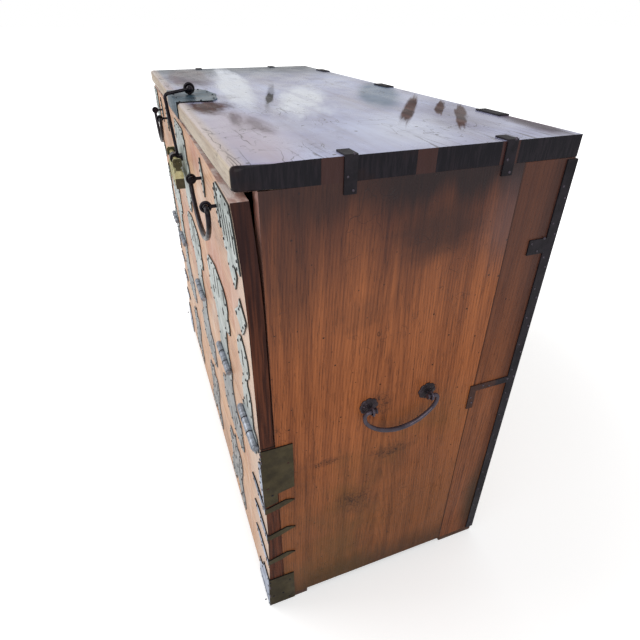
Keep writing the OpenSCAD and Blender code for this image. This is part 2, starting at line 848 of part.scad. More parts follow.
// Iron on the flap's right edge and behind its handles

corner_sheet_w = 86;
slot_pitch = 19;
corner_sheet_h = 80;
slot_w = 6;
slot_h = 38;

module flap_corner_plate(side) {
    x0 = half_w - 3 - corner_sheet_w;
    z1 = flap_top_z - 3;
    color(iron) flap_sheet() mirror([side, 0]) {
        difference() {
            translate([x0, z1 - corner_sheet_h]) square([corner_sheet_w, corner_sheet_h]);
            for (i = [0:3]) translate([x0 + 14 + i * slot_pitch, z1 - corner_sheet_h / 2 - slot_h / 2])
                square([slot_w, slot_h]);
        }
        translate([x0 + corner_sheet_w * 0.4, z1 - corner_sheet_h])
            polygon([[-16, 1], [-26, -15], [4, -41], [26, -14], [16, 1]]);
    }
}

edge_plate_up = 199;
edge_plate_z = seam_z + edge_plate_up;
edge_plate_w = 70;
edge_plate_h = 54;

module flap_edge_plate(side) {
    x1 = half_w - 4;
    h = edge_plate_h / 2;
    color(iron) flap_sheet() mirror([side, 0]) translate([x1, edge_plate_z]) polygon([
        [0, h * 0.3], [-edge_plate_w * 0.42, h], [-edge_plate_w * 0.56, h * 0.4], [-edge_plate_w, -h * 0.4],
        [-edge_plate_w * 0.7, -h * 0.6], [-edge_plate_w * 0.44, -h], [-edge_plate_w * 0.25, -h * 0.5]
    ]);
}

module flap_handle_plates() {
    arm_w = 13;
    arm_h = 28;
    color(iron) difference() {
        flap_sheet() for (x = flap_ring_x()) translate([x, flap_handle_z])
            polygon([[-arm_w, 0], [0, -arm_h], [arm_w, 0], [0, arm_h]]);
        flap_shank_holes();
    }
}

module flap_handle_ring_bolts() {
    color(iron) for (x = flap_ring_x())
        translate([x, flap_ring_y, flap_handle_z]) rotate([90, 0, 0]) rotate(90)
            ring_bolt(ring_r, ring_tube_r, front_y + flap_t - cup(x, flap_handle_z) - flap_ring_y - 1);
}

// Domed washer round a shank, from a profile whose rings step down to the rim
washer_steps = 4;
module end_handle_washers() {
    hole_r = shank_r + shank_play;
    dome = [for (i = [0:washer_steps]) let (turn = 90 * i / washer_steps)
        [hole_r + (washer_r - hole_r) * cos(turn), washer_rim + (washer_rise - washer_rim) * sin(turn)]];
    color(iron) for (side = [-1, 1]) translate([half_w, side * end_span / 2, end_handle_z])
        rotate([0, 90, 0]) rotate_extrude() polygon(concat([[hole_r, 0], [washer_r, 0]], dome));
}

module end_handle_ring_bolts() {
    color(iron) for (side = [-1, 1])
        translate([half_w + ring_stand, side * end_span / 2, end_handle_z]) rotate([0, 90, 0])
            ring_bolt(ring_r, ring_tube_r, ring_stand + end_t);
}

// Round bar along a path in the XZ plane. Each stop holds x, z, the direction
// across the path in degrees from +X, and the bar's radius there.
module swept_bar(stops, sides) {
    points = [for (stop = stops, i = [0:sides - 1]) let (turn = 360 * i / sides)
        [stop[0] + stop[3] * cos(turn) * cos(stop[2]), stop[3] * sin(turn),
         stop[1] + stop[3] * cos(turn) * sin(stop[2])]];
    skin = [for (n = [0:len(stops) - 2], i = [0:sides - 1])
        let (a = n * sides, b = a + sides, j = (i + 1) % sides)
        each [[a + i, b + i, b + j], [a + i, b + j, a + j]]];
    last = (len(stops) - 1) * sides;
    caps = [[for (i = [0:sides - 1]) i], [for (i = [sides - 1:-1:0]) last + i]];
    polyhedron(points, concat(skin, caps));
}

function arc_stops(centre, radius, from, to, steps, r0, r1) = [
    for (i = [0:steps]) let (s = i / steps, turn = from + (to - from) * s)
        [centre[0] + radius * cos(turn), centre[1] + radius * sin(turn), turn, r0 + (r1 - r0) * s]
];

// Swan-necked bail in the XZ plane: headed pins along X through the eyes, hanging to -Z,
// a little thicker at the bottom of the bow
module bail(span, drop) {
    reach = span / 2 + pin_side + bail_bend_r;
    flat = drop - bail_bend_r - bail_side_r;
    wide = reach - bail_side_r;
    turn = 2 * atan(wide / flat) - 90;
    shift = flat / (1 - sin(turn));
    pin_end = span / 2 - pin_side;
    head_r = bail_r + 1.4;
    bow_middle = [0, shift * sin(turn) - bail_bend_r];
    bow = arc_stops(bow_middle, shift + bail_side_r, -90, -turn, 7, bail_mid_r, bail_r);
    side = arc_stops([wide, -bail_bend_r], bail_side_r, -turn, 0, 6, bail_r, bail_r);
    bend = arc_stops([reach - bail_bend_r, -bail_bend_r], bail_bend_r, 0, 90, 5, bail_r, bail_r);
    pin = [[pin_end, 0, 90, bail_r], [pin_end - 0.3, 0, 90, head_r], [pin_end - bail_head_t, 0, 90, head_r]];
    right = concat(
        bow,
        [for (i = [1:len(side) - 1]) side[i]],
        [for (i = [1:len(bend) - 1]) bend[i]],
        pin
    );
    left = [for (i = [len(right) - 1:-1:1]) [-right[i][0], right[i][1], 180 - right[i][2], right[i][3]]];
    swept_bar(concat(left, right), 12);
}

module end_bail() {
    color(iron) translate([half_w + ring_stand, 0, end_handle_z]) rotate(90) bail(end_span, end_drop);
}

module flap_bail(x) {
    color(iron) translate([x, flap_ring_y, flap_handle_z]) bail(flap_span, flap_drop);
}

module at_left() {
    mirror([1, 0, 0]) children();
}

place() top_board();
place() end_board();  // right_end_board
place() end_narrow_board();  // right_end_narrow_board
place() at_left() end_board();  // left_end_board
place() at_left() end_narrow_board();  // left_end_narrow_board
place() back_board(back_seam_z, top_z);  // back_upper_board
place() back_board(rail_h, back_seam_z);  // back_lower_board
place() floor_board();
place() fixed_front_board();
place() foot_rail(front_y, front_rail_d);  // front_foot_rail
place() foot_rail(half_d - rail_d, rail_d);  // back_foot_rail
place() hasp_plate();
place() hasp_ring_bolt();
place() lower_leaf(0);  // hinge_1_lower_leaf
place() lower_leaf(1);  // hinge_2_lower_leaf
place() lower_leaf(2);  // hinge_3_lower_leaf
place() lower_leaf(3);  // hinge_4_lower_leaf
place() lower_leaf(4);  // hinge_5_lower_leaf
place() hinge_pins();
place() corner_plate();  // right_corner_plate
place() corner_straps();  // right_corner_straps
place() bottom_corner_plate();  // right_bottom_corner_plate
place() at_left() corner_plate();  // left_corner_plate
place() at_left() corner_straps();  // left_corner_straps
place() at_left() bottom_corner_plate();  // left_bottom_corner_plate
place() back_band();  // right_back_band
place() back_straps();  // right_back_straps
place() at_left() back_band();  // left_back_band
place() at_left() back_straps();  // left_back_straps
place() top_straps();  // right_top_straps
place() at_left() top_straps();  // left_top_straps
place() back_top_straps();
place() front_ornaments();
place() end_handle_washers();  // right_handle_washers
place() end_handle_ring_bolts();  // right_handle_ring_bolts
place() at_left() end_handle_washers();  // left_handle_washers
place() at_left() end_handle_ring_bolts();  // left_handle_ring_bolts
place() flap_board();
place() upper_leaf(0);  // hinge_1_upper_leaf
place() upper_leaf(1);  // hinge_2_upper_leaf
place() upper_leaf(2);  // hinge_3_upper_leaf
place() upper_leaf(3);  // hinge_4_upper_leaf
place() upper_leaf(4);  // hinge_5_upper_leaf
place() lock_plate();
place() lock_staple();
place() padlock_case();
place() flap_corner_plate(0);  // right_flap_corner_plate
place() flap_corner_plate(1);  // left_flap_corner_plate
place() flap_edge_plate(0);  // right_flap_edge_plate
place() flap_edge_plate(1);  // left_flap_edge_plate
place() flap_handle_plates();
place() flap_handle_ring_bolts();
place() hasp();
place() padlock_bolt();
place() end_bail();  // right_end_bail
place() at_left() end_bail();  // left_end_bail
place() flap_bail(flap_handle_x);  // right_flap_bail
place() flap_bail(left_flap_handle_x);  // left_flap_bail
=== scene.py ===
import bmesh
import bpy
import json
import math
import random
from mathutils import Matrix, Vector


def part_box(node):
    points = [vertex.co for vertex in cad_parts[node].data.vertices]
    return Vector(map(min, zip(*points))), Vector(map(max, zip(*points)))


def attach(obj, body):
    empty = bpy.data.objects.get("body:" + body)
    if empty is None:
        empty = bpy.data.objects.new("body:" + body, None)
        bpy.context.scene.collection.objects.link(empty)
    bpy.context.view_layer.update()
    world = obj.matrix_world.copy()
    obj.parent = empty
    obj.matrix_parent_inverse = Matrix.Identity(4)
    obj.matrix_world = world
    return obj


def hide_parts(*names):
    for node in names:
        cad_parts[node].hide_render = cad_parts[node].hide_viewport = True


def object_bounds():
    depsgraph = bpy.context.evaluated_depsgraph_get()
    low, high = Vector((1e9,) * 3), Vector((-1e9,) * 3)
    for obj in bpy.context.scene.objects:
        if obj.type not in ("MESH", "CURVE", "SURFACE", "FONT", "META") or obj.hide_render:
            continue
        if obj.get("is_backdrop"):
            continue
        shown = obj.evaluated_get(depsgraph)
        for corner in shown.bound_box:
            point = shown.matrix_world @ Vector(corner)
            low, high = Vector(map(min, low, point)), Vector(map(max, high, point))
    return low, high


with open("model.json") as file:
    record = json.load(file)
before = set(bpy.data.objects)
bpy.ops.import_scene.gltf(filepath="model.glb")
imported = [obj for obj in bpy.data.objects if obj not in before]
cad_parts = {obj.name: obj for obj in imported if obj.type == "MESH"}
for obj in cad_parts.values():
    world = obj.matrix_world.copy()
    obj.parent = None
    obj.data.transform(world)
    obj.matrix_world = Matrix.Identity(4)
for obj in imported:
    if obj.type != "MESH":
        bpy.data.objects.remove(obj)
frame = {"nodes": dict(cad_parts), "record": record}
cad_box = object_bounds()
nodes = frame["nodes"]
body_of_node = {n: body for body, ns in frame["record"]["behaviour"]["bodies"].items() for n in ns}
slot_of_node = {s["node"]: s["material_slot"] for s in frame["record"]["subparts"]}


def middle(node):
    low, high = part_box(node)
    return (low + high) / 2


# Places on the chest, in metres
top_low, top_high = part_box("top_board")
top_z = top_high.z
lip_z = top_low.z + 0.0045
end_x = top_high.x
end_foot_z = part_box("right_end_board")[0].z
end_seam_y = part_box("right_end_narrow_board")[0].y + 0.00085
front_y = -0.21
seam_z = middle("hinge_pins").z
hinge_y = middle("hinge_pins").y
back_y = cad_box[1][1]

# Sizes of fittings, in metres
barrel_r = 0.0055
collar_w = 0.0016
washer_hole_r = 0.0024
lock_y = middle("padlock_bolt").y
case_top = seam_z + 0.271
case_end_h = 0.013
case_half_d = 0.007
lock_band_w = 0.007
lock_band_t = 0.0007

# Directions and sides
forward = (0, -1, 0)
backward = (0, 1, 0)
upward = (0, 0, 1)
hands = (("right", 1), ("left", -1))


# Materials
def srgb(r, g, b):
    """A colour as it is seen, 0 to 255, as the linear value that a socket takes."""
    def linear(v):
        v = v / 255
        return v / 12.92 if v <= 0.04045 else ((v + 0.055) / 1.055) ** 2.4
    return (linear(r), linear(g), linear(b), 1.0)


materials = {}


class Shader:
    """One material's node tree, in object coordinates, which are the row frame in metres."""

    def __init__(self, name):
        self.material = bpy.data.materials.new(name)
        materials[name] = self.material
        self.material.use_nodes = True
        self.tree = self.material.node_tree
        self.surface = self.tree.nodes["Principled BSDF"]
        source = self.tree.nodes.new("ShaderNodeTexCoord")
        self.place = source.outputs["Object"]
        self.x, self.y, self.z = self.split(self.place)
        self.facing_x, self.facing_y, self.facing_z = self.split(source.outputs["Normal"])

    def node(self, kind, inputs, **settings):
        made = self.tree.nodes.new(kind)
        for key, value in settings.items():
            setattr(made, key, value)
        for key, value in inputs.items():
            self.put(made.inputs[key], value)
        return made

    def put(self, socket, value):
        if isinstance(value, bpy.types.NodeSocket):
            self.tree.links.new(value, socket)
        else:
            socket.default_value = value

    def split(self, vector):
        made = self.node("ShaderNodeSeparateXYZ", {0: vector})
        return made.outputs[0], made.outputs[1], made.outputs[2]

    def math(self, operation, a, b=0.0):
        return self.node("ShaderNodeMath", {0: a, 1: b}, operation=operation).outputs[0]

    def add(self, a, b):
        return self.math("ADD", a, b)

    def times(self, a, b):
        return self.math("MULTIPLY", a, b)

    def absolute(self, value):
        return self.math("ABSOLUTE", value)

    def all_but(self, share):
        return self.math("SUBTRACT", 1.0, share)

    def most(self, *values):
        result = values[0]
        for value in values[1:]:
            result = self.math("MAXIMUM", result, value)
        return result

    def mix(self, share, a, b):
        made = self.node("ShaderNodeMix", {0: share, 6: a, 7: b}, data_type="RGBA")
        return made.outputs[2]

    def stain(self, color, share, strength, tone):
        """Part of the way from a colour to a tone, where the share is 1."""
        return self.mix(self.times(share, strength), color, tone)

    def blend(self, share, a, b):
        made = self.node("ShaderNodeMix", {0: share, 2: a, 3: b}, data_type="FLOAT")
        return made.outputs[0]

    def span(self, value, low, high, start=0.0, end=1.0):
        """Start up to low, end from high on, smooth between them."""
        inputs = {0: value, 1: low, 2: high, 3: start, 4: end}
        made = self.node("ShaderNodeMapRange", inputs, interpolation_type="SMOOTHSTEP")
        return made.outputs[0]

    def scaled(self, scale, turn=(0, 0, 0), shift=(0, 0, 0)):
        inputs = {0: self.place, 1: shift, 2: turn, 3: scale}
        return self.node("ShaderNodeMapping", inputs, vector_type="POINT").outputs[0]

    def noise(self, scale, detail=4.0, rough=0.55, turn=(0, 0, 0), shift=(0, 0, 0)):
        """Fractal noise with so many cells per metre along X, Y and Z."""
        inputs = {"Vector": self.scaled(scale, turn, shift), "Scale": 1.0, "Detail": detail,
                  "Roughness": rough}
        return self.node("ShaderNodeTexNoise", inputs).outputs[0]

    def sway(self, amount, scale, detail=4.0, rough=0.6):
        """Noise about zero, to bend a line or a level."""
        return self.times(self.add(self.noise(scale, detail, rough), -0.5), amount)

    def line(self, scale, thin=0.01, turn=(0, 0, 0), shift=(0, 0, 0)):
        """Thin wandering lines: where a noise passes through its middle."""
        level = self.absolute(self.add(self.noise(scale, 2.0, 0.5, turn, shift), -0.5))
        return self.span(level, thin * 0.3, thin, 1.0, 0.0)

    def specks(self, a, b, scale, size, keep):
        """Round specks in a share of the cells over two coordinates."""
        flat = self.node("ShaderNodeCombineXYZ", {0: a, 1: b}).outputs[0]
        inputs = {"Vector": flat, "Scale": scale}
        cells = self.node("ShaderNodeTexVoronoi", inputs, voronoi_dimensions="2D")
        chosen = self.math("LESS_THAN", self.split(cells.outputs["Color"])[0], keep)
        return self.times(self.span(cells.outputs["Distance"], size * 0.6, size, 1.0, 0.0), chosen)

    def spot(self, centre, reach, soft=0.5, ragged=0.0, turn=0.0):
        """1 near a point and 0 beyond its reach, turned about Z, with a ragged edge."""
        inputs = {0: self.place, 1: centre, 2: (0, 0, turn), 3: reach}
        near = self.node("ShaderNodeMapping", inputs, vector_type="TEXTURE").outputs[0]
        length = self.node("ShaderNodeVectorMath", {0: near}, operation="LENGTH")
        distance = length.outputs["Value"]
        if ragged:
            inputs = {"Vector": near, "Scale": 1.7, "Detail": 4.0, "Roughness": 0.6,
                      "W": sum(centre) * 9}
            uneven = self.node("ShaderNodeTexNoise", inputs, noise_dimensions="4D").outputs["Fac"]
            distance = self.add(distance, self.times(self.add(uneven, -0.5), ragged))
        return self.span(distance, 1 - soft, 1.0, 1.0, 0.0)

    def top_spot(self, x, y, reach_x, reach_y, soft, ragged=0.0, turn=0.0):
        return self.spot((x, y, top_z), (reach_x, reach_y, 1), soft, ragged, turn)

    def end_spot(self, y, z, reach_y, reach_z, soft, ragged):
        return self.spot((end_x, y, z), (1, reach_y, reach_z), soft, ragged)

    def front_spot(self, x, z, reach_x, reach_z, soft, ragged):
        return self.spot((x, front_y, z), (reach_x, 1, reach_z), soft, ragged)

    def crease_shade(self, reach):
        """1 close to where another piece rests on the surface, 0 beyond the reach: a mask for painted
        contact shade.
        """
        made = self.node("ShaderNodeAmbientOcclusion", {"Distance": reach}, samples=4)
        return self.span(made.outputs["AO"], 0.45, 0.95, 1.0, 0.0)

    def bump(self, height, distance, strength):
        inputs = {"Height": height, "Distance": distance, "Strength": strength}
        made = self.node("ShaderNodeBump", inputs)
        self.put(self.surface.inputs["Normal"], made.outputs[0])

    def finish(self, color, rough, metal=0.0, coat=0.0, coat_rough=0.1, shine=0.5):
        settings = {"Base Color": color, "Roughness": rough, "Metallic": metal,
                    "Coat Weight": coat, "Coat Roughness": coat_rough, "Coat IOR": 1.5,
                    "Specular IOR Level": shine}
        for key, value in settings.items():
            self.put(self.surface.inputs[key], value)
        return self.material


def grain(s, along, across, deep, pith, gap, warp=0.012):
    """Year rings round a pith line that runs along the board. Gives rings, fibres and pores."""
    axes = {"X": (1, 0, 0), "Y": (0, 1, 0), "Z": (0, 0, 1)}
    run = Vector(axes[along])
    rest = Vector((1, 1, 1)) - run
    value = {"X": s.x, "Y": s.y, "Z": s.z}
    if deep == "X":
        value["X"] = s.absolute(s.x)
    slow = run * 1.1 + rest * 5
    sway = s.sway(warp * 4, tuple(slow), 2.0, 0.55)
    fine_sway = s.sway(warp * 0.5, tuple(slow * 5), 2.0, 0.55)
    a = s.add(s.add(value[across], -pith[0]), s.add(sway, fine_sway))
    b = s.add(s.add(value[deep], -pith[1]), sway)
    radius = s.math("SQRT", s.add(s.times(a, a), s.times(b, b)))
    radius = s.add(radius, s.times(value[along], pith[2]))
    turns = s.math("FRACT", s.times(radius, 1 / gap))
    late = s.times(s.span(turns, 0.25, 0.8), s.span(turns, 0.86, 1.0, 1.0, 0.0))
    fibre = s.noise(tuple(rest * 420 + run * 9), 4.0, 0.6)
    bands = s.noise(tuple(rest * 55 + run * 1.6), 3.0, 0.6)
    fine = rest * 900 + run * 38 + Vector(axes[across]) * 60
    pores = s.span(s.noise(tuple(fine), 2.0), 0.6, 0.68)
    return late, fibre, bands, pores


def wood(name, tones, axes, pith, gap, rough, rings=0.34, extra=None):
    """Planed wood. Its axes run along, across and into the board. Pith and gap place the rings."""
    light, dark, deep_tone = [srgb(*tone) for tone in tones]
    along, across, deep = axes
    s = Shader(name)
    s.coat = 0.0
    s.shine = 0.3
    late, fibre, bands, pores = grain(s, along, across, deep, pith, gap)
    tone = s.add(s.times(late, rings), s.times(s.span(fibre, 0.32, 0.7), 0.34))
    tone = s.add(tone, s.times(s.span(bands, 0.34, 0.68), 0.42))
    color = s.mix(tone, light, dark)
    color = s.stain(color, pores, 0.55, deep_tone)
    blotch = s.span(s.noise((5, 5, 5), 5.0, 0.6, shift=(3, 1, 7)), 0.5, 0.74)
    color = s.stain(color, blotch, 0.5, deep_tone)
    scratch = s.most(
        s.line((16, 30, 34), 0.006, (0.5, 0.3, 0.2)),
        s.line((40, 22, 12), 0.005, (0, 0.7, 1.1)),
    )
    scratch = s.times(scratch, s.span(s.noise((11, 11, 11), 3.0, shift=(9, 2, 4)), 0.52, 0.66))
    color = s.stain(color, scratch, 0.55, deep_tone)
    plane = {"X": s.x, "Y": s.y, "Z": s.z}
    dots = s.most(
        s.specks(plane[along], plane[across], 21, 0.035, 0.3),
        s.specks(plane[along], plane[across], 47, 0.05, 0.16),
    )
    color = s.stain(color, dots, 0.85, srgb(28, 18, 16))
    gloss = s.blend(s.span(s.noise((14, 14, 14), 4.0), 0.35, 0.7), rough - 0.07, rough + 0.1)
    height = s.add(s.times(fibre, 0.5), s.times(late, 0.18))
    height = s.add(height, s.times(s.most(scratch, dots, s.times(pores, 0.7)), -0.8))
    if extra:
        color, gloss, height = extra(s, color, gloss, height)
    s.bump(height, 0.0009, 0.55)
    return s.finish(color, gloss, coat=s.coat, coat_rough=0.16, shine=s.shine)


def lacquer(s):
    """The top's lacquer: a grey-blue haze and a painted reflection over dark red-brown, with painted
    highlights, worn places and smears.
    """
    streak = s.noise((2.2, 46, 46), 4.0, 0.6)
    brown = s.mix(s.span(streak, 0.3, 0.7), srgb(92, 54, 48), srgb(48, 28, 30))
    clouds = s.span(s.noise((3.5, 5, 5), 4.0, 0.6), 0.36, 0.64)
    # Grey-blue haze on the lacquer and a painted reflection of the bright surroundings. The tinted
    # patches laid over it below are part of that painted reflection.
    bloom_and_sheen = s.mix(clouds, srgb(160, 161, 196), srgb(196, 204, 240))
    bloom_and_sheen = s.stain(bloom_and_sheen, s.span(streak, 0.45, 0.72), 0.4, srgb(136, 118, 136))
    far = s.span(s.x, -0.1, -0.5)
    bloom_and_sheen = s.stain(bloom_and_sheen, far, 0.9, srgb(84, 94, 98))
    teal = s.top_spot(0.1, 0.157, 0.22, 0.05, 0.5, 0.3, -0.4)
    bloom_and_sheen = s.stain(bloom_and_sheen, teal, 0.75, srgb(78, 108, 128))
    # Near-white painted highlights, where the top mirrors the brightest light.
    bright = s.most(
        s.top_spot(-0.16, -0.066, 0.42, 0.042, 0.5, 0.8, -0.127),
        s.top_spot(0.12, 0.0, 0.26, 0.055, 0.7, 1.5, -0.326),
        s.times(s.top_spot(0.42, 0.04, 0.16, 0.1, 0.9, 0.4, -0.4), 0.5),
    )
    brushed = s.span(s.noise((5, 60, 60), 4.0, 0.6, shift=(3, 9, 1)), 0.3, 0.55, 0.6, 1.0)
    bright = s.times(bright, brushed)
    bloom_and_sheen = s.mix(bright, bloom_and_sheen, srgb(236, 242, 255))
    warm = s.top_spot(0.36, -0.16, 0.26, 0.07, 0.7, 0.4)
    bloom_and_sheen = s.stain(bloom_and_sheen, warm, 0.5, srgb(206, 182, 186))
    # Brown shows through in bare places, which also stand for the dark parts of the painted
    # reflection.
    bare = s.most(
        s.top_spot(0.155, -0.168, 0.09, 0.045, 0.6, 1.2),
        s.times(s.top_spot(0.268, -0.148, 0.1, 0.016, 0.9, 1.4, -0.1), 0.7),
        s.times(s.top_spot(0.317, -0.131, 0.1, 0.024, 0.9, 1.4), 0.6),
        s.top_spot(0.27, 0.127, 0.18, 0.012, 0.5, 1.2, -0.586),
        s.top_spot(0.282, 0.175, 0.095, 0.01, 0.5, 1.2, -0.6),
        s.top_spot(0.347, 0.167, 0.14, 0.012, 0.5, 1.2, -0.59),
        s.times(s.top_spot(-0.3, -0.14, 0.3, 0.07, 0.6, 0.8, -0.1), 0.75),
        s.times(s.top_spot(0.34, 0.16, 0.19, 0.07, 0.8, 1.4, -0.4), 0.4),
        s.times(s.top_spot(0.42, 0.225, 0.14, 0.035, 0.6, 0.6, -0.2), 0.8),
    )
    rubbed = s.span(s.noise((9, 16, 16), 5.0, 0.65, shift=(4, 4, 4)), 0.54, 0.72)
    color = s.stain(bloom_and_sheen, rubbed, 0.4, brown)
    color = s.mix(bare, color, brown)
    smear = s.most(
        s.top_spot(0.09, -0.05, 0.1, 0.01, 0.5, 1.2, -0.299),
        s.times(s.top_spot(0.035, -0.033, 0.22, 0.01, 0.6, 1.0, -0.299), 0.6),
    )
    color = s.mix(smear, color, srgb(30, 22, 28))
    # A pale band along the front edge: rubbed lacquer and a painted highlight.
    worn = s.span(s.y, top_low.y + 0.022, top_low.y + 0.007)
    pale = s.mix(s.span(streak, 0.4, 0.6), srgb(214, 198, 184), srgb(176, 150, 142))
    color = s.stain(color, worn, 0.75, pale)
    marks = s.most(s.line((7, 30, 30), 0.006), s.line((26, 18, 18), 0.005, (0, 0, 0.8)))
    marks = s.times(marks, s.span(s.noise((8, 8, 8), 3.0, shift=(1, 5, 2)), 0.5, 0.62))
    splits = s.times(s.line((5, 75, 75), 0.03), s.span(s.x, 0.42, 0.5))
    marks = s.most(marks, s.times(splits, s.span(s.noise((3, 40, 40), 2.0), 0.48, 0.56)))
    color = s.stain(color, marks, 0.7, srgb(50, 36, 42))
    nicks = s.specks(s.x, s.y, 18, 0.05, 0.3)
    color = s.stain(color, nicks, 0.85, srgb(44, 34, 38))
    height = s.add(s.times(streak, 0.4), s.times(s.most(marks, nicks), -0.7))
    dull = s.most(bare, smear, s.times(rubbed, 0.3), s.times(far, 0.6), s.times(teal, 0.6),
                  s.times(worn, 0.8))
    return color, height, dull


def dark_end_grain(s):
    """End grain under old dark polish, with slanted saw marks."""
    saw = s.noise((40, 300, 36), 3.0, 0.6, (0.6, 0, 0))
    broad = s.noise((9, 22, 26), 3.0)
    color = s.mix(s.span(saw, 0.42, 0.68), srgb(22, 20, 27), srgb(36, 31, 38))
    color = s.stain(color, s.span(broad, 0.52, 0.7), 0.5, srgb(44, 28, 28))
    return color, saw


# Painted shade along the bottom edge of the end boards.
def painted_foot_shade(s, color):
    return s.mix(s.span(s.z, end_foot_z + 0.002, end_foot_z - 0.003), color, srgb(20, 15, 13))


def top_extra(s, color, gloss, height):
    """Lacquer on the top board's face, dark end grain, and a painted shadow line under its front."""
    lacquer_and_sheen, relief, dull = lacquer(s)
    up = s.span(s.facing_z, 0.45, 0.9)
    color = s.mix(up, color, lacquer_and_sheen)
    height = s.blend(up, height, relief)
    ends, saw = dark_end_grain(s)
    at_end = s.span(s.absolute(s.facing_x), 0.3, 0.5)
    color = s.mix(at_end, color, ends)
    height = s.blend(at_end, height, saw)
    # Painted shadow: a black line low on the front edge, where the top overhangs the flap.
    lip = s.times(s.span(s.facing_y, -0.1, -0.4), s.span(s.z, lip_z + 0.001, lip_z - 0.001))
    color = s.mix(lip, color, srgb(16, 12, 14))
    waves = s.span(s.noise((12, 18, 18), 4.0, shift=(2, 2, 2)), 0.35, 0.65)
    gloss = s.blend(up, gloss, s.blend(waves, 0.2, 0.42))
    s.coat = s.blend(up, 0.12, s.blend(dull, 0.6, 0.05))
    s.shine = s.blend(up, 0.15, s.blend(dull, 0.15, 0.02))
    return color, gloss, height


def end_extra(s, color, gloss, height):
    """The wide end boards: dark upper part, soot, stains, and fingers that show in the top."""
    drift = s.sway(0.2, (1, 26, 3.5))
    top_shade = s.span(s.add(s.z, drift), 0.58, 0.75)
    color = s.stain(color, top_shade, 0.75, srgb(62, 34, 33))
    level = s.span(s.add(s.z, s.times(drift, 0.5)), 0.715, 0.762)
    color = s.mix(s.times(level, s.span(s.y, -0.1, 0.0, 0.6, 0.88)), color, srgb(32, 24, 28))
    soot = s.most(
        s.end_spot(0.045, 0.7, 0.08, 0.05, 0.7, 0.9),
        s.times(s.end_spot(-0.15, 0.66, 0.05, 0.13, 0.8, 0.6), 0.5),
        s.times(s.end_spot(-0.06, 0.6, 0.05, 0.04, 0.8, 1.2), 0.4),
        s.times(s.end_spot(0.0, 0.29, 0.09, 0.05, 0.8, 1.2), 0.3),
    )
    color = s.stain(color, soot, 0.7, srgb(54, 33, 30))
    # A purple-grey patch high on the end is a painted sheen.
    bloom_and_sheen = s.end_spot(0.15, 0.7, 0.07, 0.1, 0.9, 0.6)
    color = s.stain(color, bloom_and_sheen, 0.4, srgb(104, 84, 86))
    color = s.mix(s.span(s.z, 0.45, 0.12, 0.0, 0.42), color, srgb(92, 62, 34))
    foot = s.span(s.add(s.z, s.times(drift, 0.4)), 0.09, 0.02)
    color = s.stain(color, foot, 0.6, srgb(50, 38, 24))
    olive = s.span(s.noise((4, 4, 4), 4.0, 0.6, shift=(6, 1, 3)), 0.46, 0.66)
    color = s.stain(color, s.times(olive, s.span(s.z, 0.5, 0.3)), 0.45, srgb(96, 72, 38))
    scuffs = s.most(
        s.end_spot(-0.105, 0.345, 0.035, 0.012, 0.8, 1.4),
        s.end_spot(-0.05, 0.23, 0.05, 0.05, 0.9, 1.5),
        s.end_spot(-0.02, 0.44, 0.03, 0.04, 0.9, 1.5),
        s.end_spot(0.01, 0.33, 0.06, 0.02, 0.9, 1.5),
    )
    hatch = s.most(
        s.line((20, 140, 40), 0.03, (0.7, 0, 0)),
        s.line((20, 60, 160), 0.03, (0.2, 0, 0)),
    )
    scuffs = s.times(scuffs, s.most(s.times(hatch, 0.85), 0.3))
    color = s.mix(scuffs, color, srgb(46, 30, 26))
    color = painted_foot_shade(s, color)
    front_rim = s.span(s.facing_y, -0.4, -0.8)
    patchy = s.span(s.noise((60, 60, 14), 4.0), 0.36, 0.6)
    worn = s.mix(patchy, srgb(146, 108, 96), srgb(116, 82, 72))
    # High on the front edge the rim is nearly white: a painted highlight where it catches the light.
    worn = s.mix(s.times(s.span(s.z, 0.66, 0.76), patchy), worn, srgb(236, 196, 188))
    color = s.mix(front_rim, color, worn)
    inside = s.span(s.times(s.facing_x, s.x), -0.2, -0.3)
    fibres = s.span(s.noise((30, 130, 1.6), 4.0, 0.6), 0.36, 0.66)
    raw = s.mix(fibres, srgb(156, 116, 82), srgb(130, 94, 66))
    color = s.mix(inside, color, raw)
    ends, _ = dark_end_grain(s)
    in_top = s.span(s.z, top_low.z - 0.0005, top_low.z + 0.0005)
    strip = s.times(in_top, s.span(s.facing_z, 0.6, 0.4))
    fingers = s.mix(0.5, ends, srgb(82, 42, 32))
    color = s.mix(strip, color, fingers)
    lacquer_and_sheen, _, dull = lacquer(s)
    at_top = s.span(s.z, top_z - 0.01, top_z - 0.002)
    upper = s.times(s.span(s.facing_z, 0.4, 0.8), at_top)
    color = s.mix(upper, color, lacquer_and_sheen)
    high = s.span(s.z, 0.45, 0.7)
    outer_coat = s.times(s.all_but(inside), s.blend(high, 0.03, 0.14))
    s.coat = s.blend(upper, outer_coat, s.blend(dull, 0.6, 0.1))
    s.shine = s.blend(high, 0.14, 0.3)
    return color, gloss, height


def narrow_extra(s, color, gloss, height):
    """The narrow end boards: dark upper part, dark seam to the wide board, and a dark back edge."""
    drift = s.sway(0.25, (1, 20, 4))
    color = s.stain(color, s.span(s.add(s.z, drift), 0.5, 0.74), 0.6, srgb(60, 38, 37))
    seam = s.span(s.absolute(s.add(s.y, -end_seam_y)), 0.0, 0.0028, 1.0, 0.0)
    color = s.stain(color, seam, 0.8, srgb(30, 20, 18))
    color = s.mix(s.span(s.z, 0.3, 0.6, 0.0, 0.45), color, srgb(78, 44, 36))
    color = s.stain(color, s.span(s.y, 0.185, 0.21), 0.45, srgb(48, 28, 26))
    low = s.end_spot(0.21, 0.12, 0.04, 0.14, 0.8, 0.5)
    color = s.stain(color, low, 0.6, srgb(50, 42, 26))
    color = painted_foot_shade(s, color)
    high = s.span(s.z, 0.45, 0.7)
    s.coat = s.blend(high, 0.02, 0.1)
    s.shine = s.blend(high, 0.12, 0.28)
    return color, gloss, height


